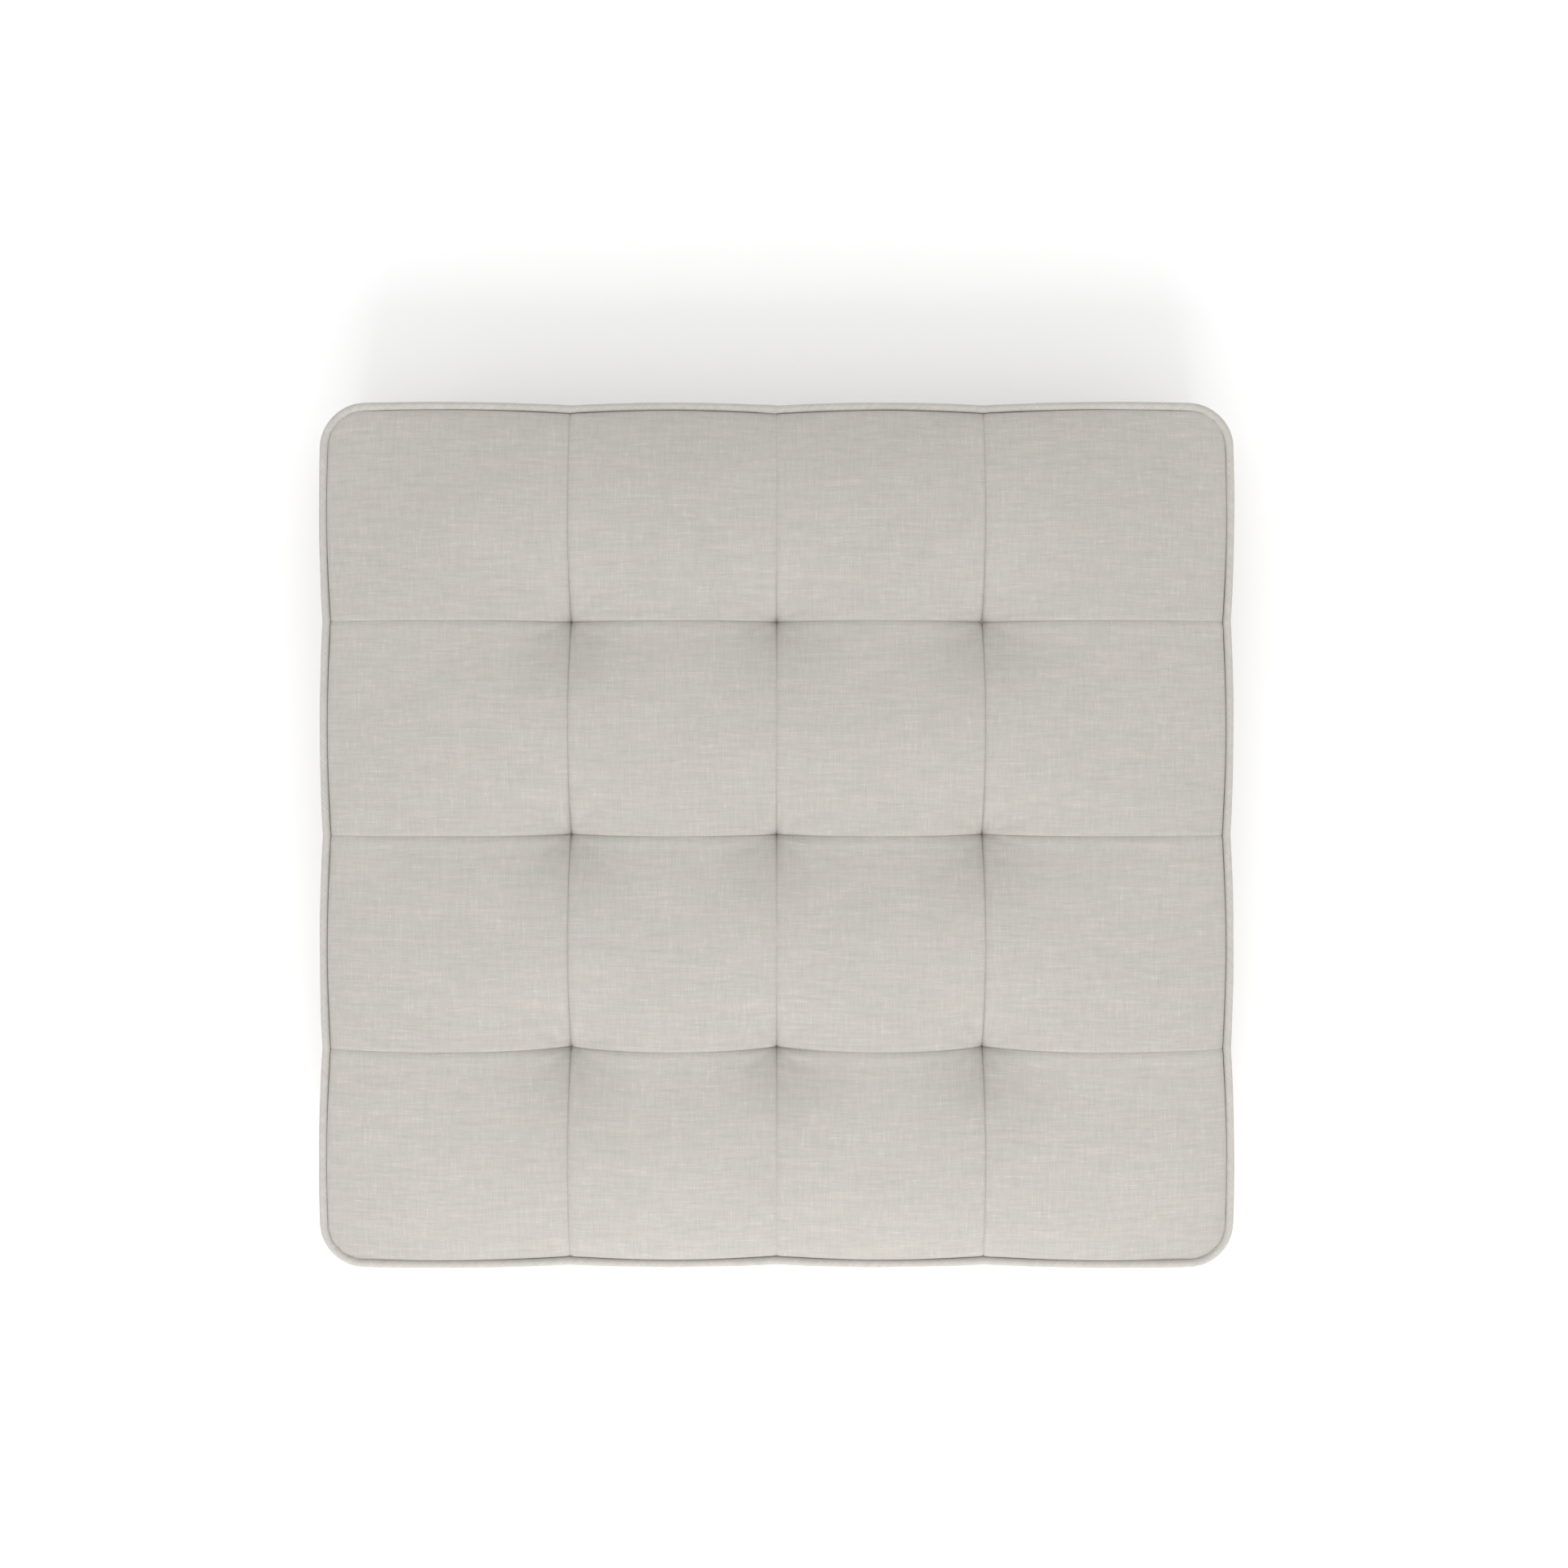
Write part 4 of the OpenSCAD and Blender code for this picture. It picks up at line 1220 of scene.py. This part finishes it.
twine_low = node_box("tufting_twines")[0][2]
plies = []
for x, y in tufts:
    loop_z = tuft_z + sewn_lift(np.array([x]), np.array([y]))[0] - LOOP_BELOW
    rise = np.linspace(twine_low + KNOT_R, loop_z - LOOP_R, 150)
    for ply in range(PLIES):
        turn = 2 * np.pi * (rise / TWINE_LAY + ply / PLIES)
        plies.append(np.stack([x + TWINE_PLY * np.cos(turn), y + TWINE_PLY * np.sin(turn), rise], axis=-1))
    turn = np.linspace(-np.pi / 2, 1.5 * np.pi, 33)
    loop_y = y + LOOP_R * np.cos(turn)
    plies.append(np.stack([np.full(33, x), loop_y, loop_z + LOOP_R * np.sin(turn)], axis=-1))
    turn = np.linspace(0, 4 * np.pi, 49)
    knot = [x + KNOT_R * np.cos(turn), y + KNOT_R * np.sin(turn), twine_low + TWINE_PLY * (1 + turn / 6)]
    plies.append(np.stack(knot, axis=-1))
twines = threads_piece("tufting_twine_plies", plies, TWINE_PLY, PLY_SIDES)
dress(twines, waxed_twine)
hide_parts("tufting_twines")


# ---- Zip ----
# A coil zip lets the filling out at the rear: two woven polyester tapes, two rows of one bent
# nylon thread, metal stops, and a die-cast slider with its pull, which move on their own.

COIL_PITCH = 0.0014
COIL_WIRE = 0.0003
COIL_MESH = 0.0004
COIL_TURN = 10
COIL_SIDES = 5
TAPE_RIB = 0.0009
TAPE_STRIPE = 0.003


def herringbone(name, shade, light):
    """Woven polyester tape: a fine slanting rib that turns back along the tape, with a slight sheen."""
    material, tree, shader = new_finish(name)
    place = add(tree, "Attribute", attribute_name="cloth").outputs["Vector"]
    part = add(tree, "SeparateXYZ", {"Vector": place})
    zigzag = add(tree, "Math", {0: part.outputs["Y"], 1: TAPE_STRIPE}, operation="PINGPONG")
    slant = add(tree, "Math", {0: part.outputs["X"], 1: zigzag}, operation="ADD")
    turn = add(tree, "Math", {0: slant, 1: 2 * math.pi / TAPE_RIB}, operation="MULTIPLY")
    rib = add(tree, "Math", {0: turn}, operation="SINE")
    tone = add(tree, "Math", {0: rib, 1: 0.5, 2: 0.5}, operation="MULTIPLY_ADD")
    colour = add(tree, "MixRGB", {"Fac": tone, "Color1": linear(shade), "Color2": linear(light)})
    bump = add(tree, "Bump", {"Height": tone, "Strength": 0.6, "Distance": 0.0002})
    wear(shader, tree, colour, bump, Roughness=0.7, Specular_IOR_Level=0.35, Sheen_Weight=0.2)
    return material


TAPE_CLOSE = 0.0006
TAPE_TUCK = 0.004
TAPE_WAVE = 0.00005
chain_end = node_box("zip_stops")[1][0]
tape_end = join_x + TAPE_TUCK
bends = [way * (chain_end + far) for way in (1, -1) for far in (0, TAPE_CLOSE)]
run = np.sort(np.concatenate([np.linspace(-tape_end, tape_end, 240), bends]))[::-1]
polyester_tape = herringbone("woven_polyester_tape", "#b3aea4", "#d8d4cb")
for side in ("upper", "lower"):
    low, high = node_box(f"zip_tape_{side}")
    thick = high[1] - low[1]
    rise = np.linspace(low[2], high[2], 9)
    tape = np.zeros((len(run), len(rise), 3))
    tape[..., 0], tape[..., 2] = np.meshgrid(run, rise, indexing="ij")
    inner = rise[0] if side == "upper" else rise[-1]
    beyond = np.clip((np.abs(tape[..., 0]) - chain_end) / TAPE_CLOSE, 0, 1)
    near = np.abs(tape[..., 2] - inner) < 1e-6
    tape[..., 2] += np.where(near, beyond * (zip_z - inner), 0)
    tape[..., 1] = high[1] - TAPE_WAVE * (1 + np.cos(2 * np.pi * tape[..., 0] / 0.03 + tape[..., 2] / 0.004))
    woven = cloth_sheet(f"zip_{side}_tape", [(tape, tape[..., [0, 2]])], thick - 0.0001)
    dress(woven, polyester_tape)
    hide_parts(f"zip_tape_{side}")


coil_nylon = moulded("drawn_nylon_coil", "#d3cfc6", 0.35, 0.0004)
for side, towards in (("upper", -1), ("lower", 1)):
    low, high = node_box(f"zip_row_{side}")
    inner = (low if side == "upper" else high)[2] + towards * COIL_MESH * 2.2
    outer = (high if side == "upper" else low)[2] + towards * COIL_WIRE
    turns = int((high[0] - low[0] - 2 * COIL_WIRE) / COIL_PITCH)
    angle = np.linspace(0, 2 * np.pi * turns, turns * COIL_TURN + 1)
    coil = np.zeros((len(angle), 3))
    # The upper coil is half a turn round and a quarter of a turn along, so that the two mesh
    shift, half_turn = (0.25 * COIL_PITCH, np.pi) if side == "upper" else (0.0, 0.0)
    reach = (high[1] - low[1]) / 2 - COIL_WIRE
    coil[:, 0] = low[0] + COIL_WIRE + COIL_PITCH * angle / (2 * np.pi) + shift
    coil[:, 1] = (low[1] + high[1]) / 2 + reach * np.sin(angle + half_turn)
    coil[:, 2] = (inner + outer) / 2 + (inner - outer) / 2 * np.cos(angle + half_turn)
    row = threads_piece(f"zip_{side}_coil", [coil], COIL_WIRE, COIL_SIDES)
    dress(row, coil_nylon)
    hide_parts(f"zip_row_{side}")

cast_zinc = metal("plated_zinc_casting", "#b9bcbf", 0.28, 0.0015)
for node, name, body, edge in (
    ("zip_slider", "slider_casting", "slider", 0.0003),
    ("zip_pull", "pull_casting", "pull", 0.0003),
    ("zip_stops", "stop_clips", "pad", 0.0002),
):
    casting = eased_copy(node, name, edge)
    dress(casting, cast_zinc, body)

# Rows of stitches hold the turned edges to the tapes
STITCH = 0.0026
STITCH_PITCH = 0.0033
STITCH_R = 0.00035
STITCH_AWAY = 0.0035
STITCH_START = 0.004


def tube_faces(rings, sides, first):
    """The numbers of a tube's points, ring by ring, and the faces of its side."""
    at = first + np.arange(rings * sides).reshape(rings, sides)
    ahead = np.roll(at, -1, axis=1)
    return at, np.stack([at[:-1], at[1:], ahead[1:], ahead[:-1]], axis=-1).reshape(-1, 4).tolist()


def at_height(column, z, k):
    """One coordinate of a column of the wall's points, at a height."""
    order = np.argsort(column[:, 2])
    return np.interp(z, column[order, 2], column[order, k])


def stitch_row(name, seat):
    """Short rounded stitches along a line of points, each sunk a little at its ends."""
    far = lengths_along(seat)
    starts = np.arange(STITCH_START, far[-1] - STITCH_START, STITCH_PITCH)
    share = np.linspace(0, 1, 6)
    turn = np.linspace(0, 2 * np.pi, 6, endpoint=False)
    points, faces = [], []
    for start in starts:
        at = start + STITCH * share
        middle = np.stack([np.interp(at, far, seat[:, k]) for k in range(3)], axis=-1)
        middle[:, 1] += 0.0002 - 0.0005 * (2 * share - 1) ** 4
        size = STITCH_R * np.sqrt(np.maximum(0.06, 1 - (2 * share - 1) ** 4))
        ring = np.repeat(middle[:, None, :], len(turn), axis=1)
        ring[..., 1] += size[:, None] * np.cos(turn)
        ring[..., 2] += size[:, None] * np.sin(turn)
        numbers, sides = tube_faces(len(share), len(turn), len(points) * len(share) * len(turn))
        points.append(ring.reshape(-1, 3))
        faces += sides + [numbers[0].tolist(), numbers[-1][::-1].tolist()]
    return new_piece(name, np.vstack(points), faces)


sewing_thread = cotton("spun_polyester_thread", "#b8b2a6", "#dedad1", 0.0006)
rear_points = {}
for node, z in (("rear_boxing_upper", zip_high + STITCH_AWAY), ("rear_boxing_lower", zip_low - STITCH_AWAY)):
    rear_points[node] = wall_grid(*walls[node])[0]
    seat = [[at_height(column, z, k) for k in range(3)] for column in rear_points[node]]
    stitches = stitch_row(f"{node}_stitches", np.array(seat)[::-1])
    dress(stitches, sewing_thread)


# ---- Care label ----
# A blank white satin label, its upper end sewn in under the zip. It hangs down over the rear wall,
# with its free end lifting a little.

LABEL_T = 0.0004
LABEL_CLEAR = 0.0006
LABEL_CURL = 0.004
LABEL_LEVEL = 0.35
LABEL_COLUMNS = 25
LABEL_ROWS = 21

label_low, label_high = node_box("care_label")


def satin(name):
    """Woven polyester satin: long floats give a smooth sheen across the label."""
    material, tree, shader = new_finish(name)
    place = add(tree, "Attribute", attribute_name="cloth").outputs["Vector"]
    floats = add(tree, "VectorMath", {0: place, 1: (300.0, 2600.0, 0.0)}, operation="MULTIPLY")
    yarn = add(tree, "TexNoise", {"Vector": floats, "Scale": 1.0, "Detail": 2.0})
    colour = add(tree, "MixRGB", {"Fac": yarn, "Color1": linear("#dfded9"), "Color2": linear("#fbfaf7")})
    bump = add(tree, "Bump", {"Height": yarn, "Strength": 0.3, "Distance": 0.0001})
    wear(shader, tree, colour, bump, Roughness=0.38, Anisotropic=0.4)
    return material


label_x = np.linspace(label_high[0], label_low[0], LABEL_COLUMNS)
label_z = np.linspace(label_low[2], label_high[2], LABEL_ROWS)
label = np.zeros((len(label_x), len(label_z), 3))
label[..., 0], label[..., 2] = np.meshgrid(label_x, label_z, indexing="ij")
wall_line = rear_points["rear_boxing_lower"]
for a, x in enumerate(label_x):
    column = wall_line[int(np.argmin(np.abs(wall_line[:, 0, 0] - x)))]
    label[a, :, 1] = at_height(column, label_z, 1)
down = (label_high[2] - label[..., 2]) / (label_high[2] - label_low[2])
across = (label[..., 0] - label_low[0]) / (label_high[0] - label_low[0])
label[..., 1] += LABEL_CLEAR + LABEL_T + LABEL_CURL * down**3 * (LABEL_LEVEL + (1 - LABEL_LEVEL) * across)
care_label = cloth_sheet("blank_care_label", [(label, label[..., [0, 2]])], LABEL_T)
dress(care_label, satin("woven_satin"))
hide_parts("care_label")


# ---- Hook strips ----
# Two strips of hook tape are sewn under the base and grip loops on the seat deck. Each is a woven
# nylon tape with stiff hooks, drawn 3 mm apart, about twice as far as real ones.

HOOK_TAPE = 0.0005
HOOK_PITCH = 0.003
HOOK_R = 0.00017
HOOK_EDGE = 0.0018
HOOK_SIDES = 4
TAPE_EASE = 0.00015


def hook_tape(node, name):
    """A tape with rows of small hooks under it, bent in turn to either side."""
    low, high = node_box(node)
    tool = bmesh.new()
    box = bmesh.ops.create_cube(tool, size=1.0)["verts"]
    size = high - low
    for v in box:
        v.co.x = (low[0] + high[0]) / 2 + v.co.x * size[0]
        v.co.y = (low[1] + high[1]) / 2 + v.co.y * size[1]
        v.co.z = high[2] - HOOK_TAPE / 2 + v.co.z * HOOK_TAPE
    bmesh.ops.bevel(tool, geom=list(tool.edges), offset=TAPE_EASE, segments=2, affect="EDGES")
    mesh = bpy.data.meshes.new(name)
    tool.to_mesh(mesh)
    tool.free()
    verts = np.zeros(len(mesh.vertices) * 3)
    mesh.vertices.foreach_get("co", verts)
    points = [verts.reshape(-1, 3)]
    faces = [list(p.vertices) for p in mesh.polygons]
    bpy.data.meshes.remove(mesh)

    tape_low = high[2] - HOOK_TAPE
    reach = tape_low - low[2]
    bend = np.radians([0, 0, 50, 110, 170])
    top = reach - 0.0004 - HOOK_R
    hook_z = np.array([0, top, top + 0.00028, top + 0.0004, top + 0.0002])
    hook_x = np.array([0, 0, 0.00012, 0.00042, 0.0007])
    turn = np.linspace(0, 2 * np.pi, HOOK_SIDES, endpoint=False)
    spots_x = np.arange(low[0] + HOOK_EDGE, high[0] - HOOK_EDGE, HOOK_PITCH)
    spots_y = np.arange(low[1] + HOOK_EDGE, high[1] - HOOK_EDGE, HOOK_PITCH)
    first = len(points[0])
    for k, y in enumerate(spots_y):
        side = 1 if k % 2 else -1
        for x in spots_x:
            ring = np.zeros((len(hook_z), len(turn), 3))
            ring[..., 0] = x + side * (hook_x[:, None] + HOOK_R * np.cos(turn) * np.cos(bend)[:, None])
            ring[..., 1] = y + HOOK_R * np.sin(turn)
            ring[..., 2] = tape_low - hook_z[:, None] + HOOK_R * np.cos(turn) * np.sin(bend)[:, None]
            points.append(ring.reshape(-1, 3))
            numbers, sides = tube_faces(len(hook_z), HOOK_SIDES, first)
            faces += sides + [numbers[-1].tolist()]
            first += numbers.size
    mesh = bpy.data.meshes.new(name)
    mesh.from_pydata(np.vstack(points).tolist(), [], faces)
    piece = placed(name, mesh)
    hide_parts(node)
    return piece


hook_nylon = moulded("nylon_hook_tape", "#e4e1da", 0.45, 0.0006)
for where in ("front", "rear"):
    strip = hook_tape(f"{where}_hook_strip", f"{where}_hook_tape")
    dress(strip, hook_nylon)
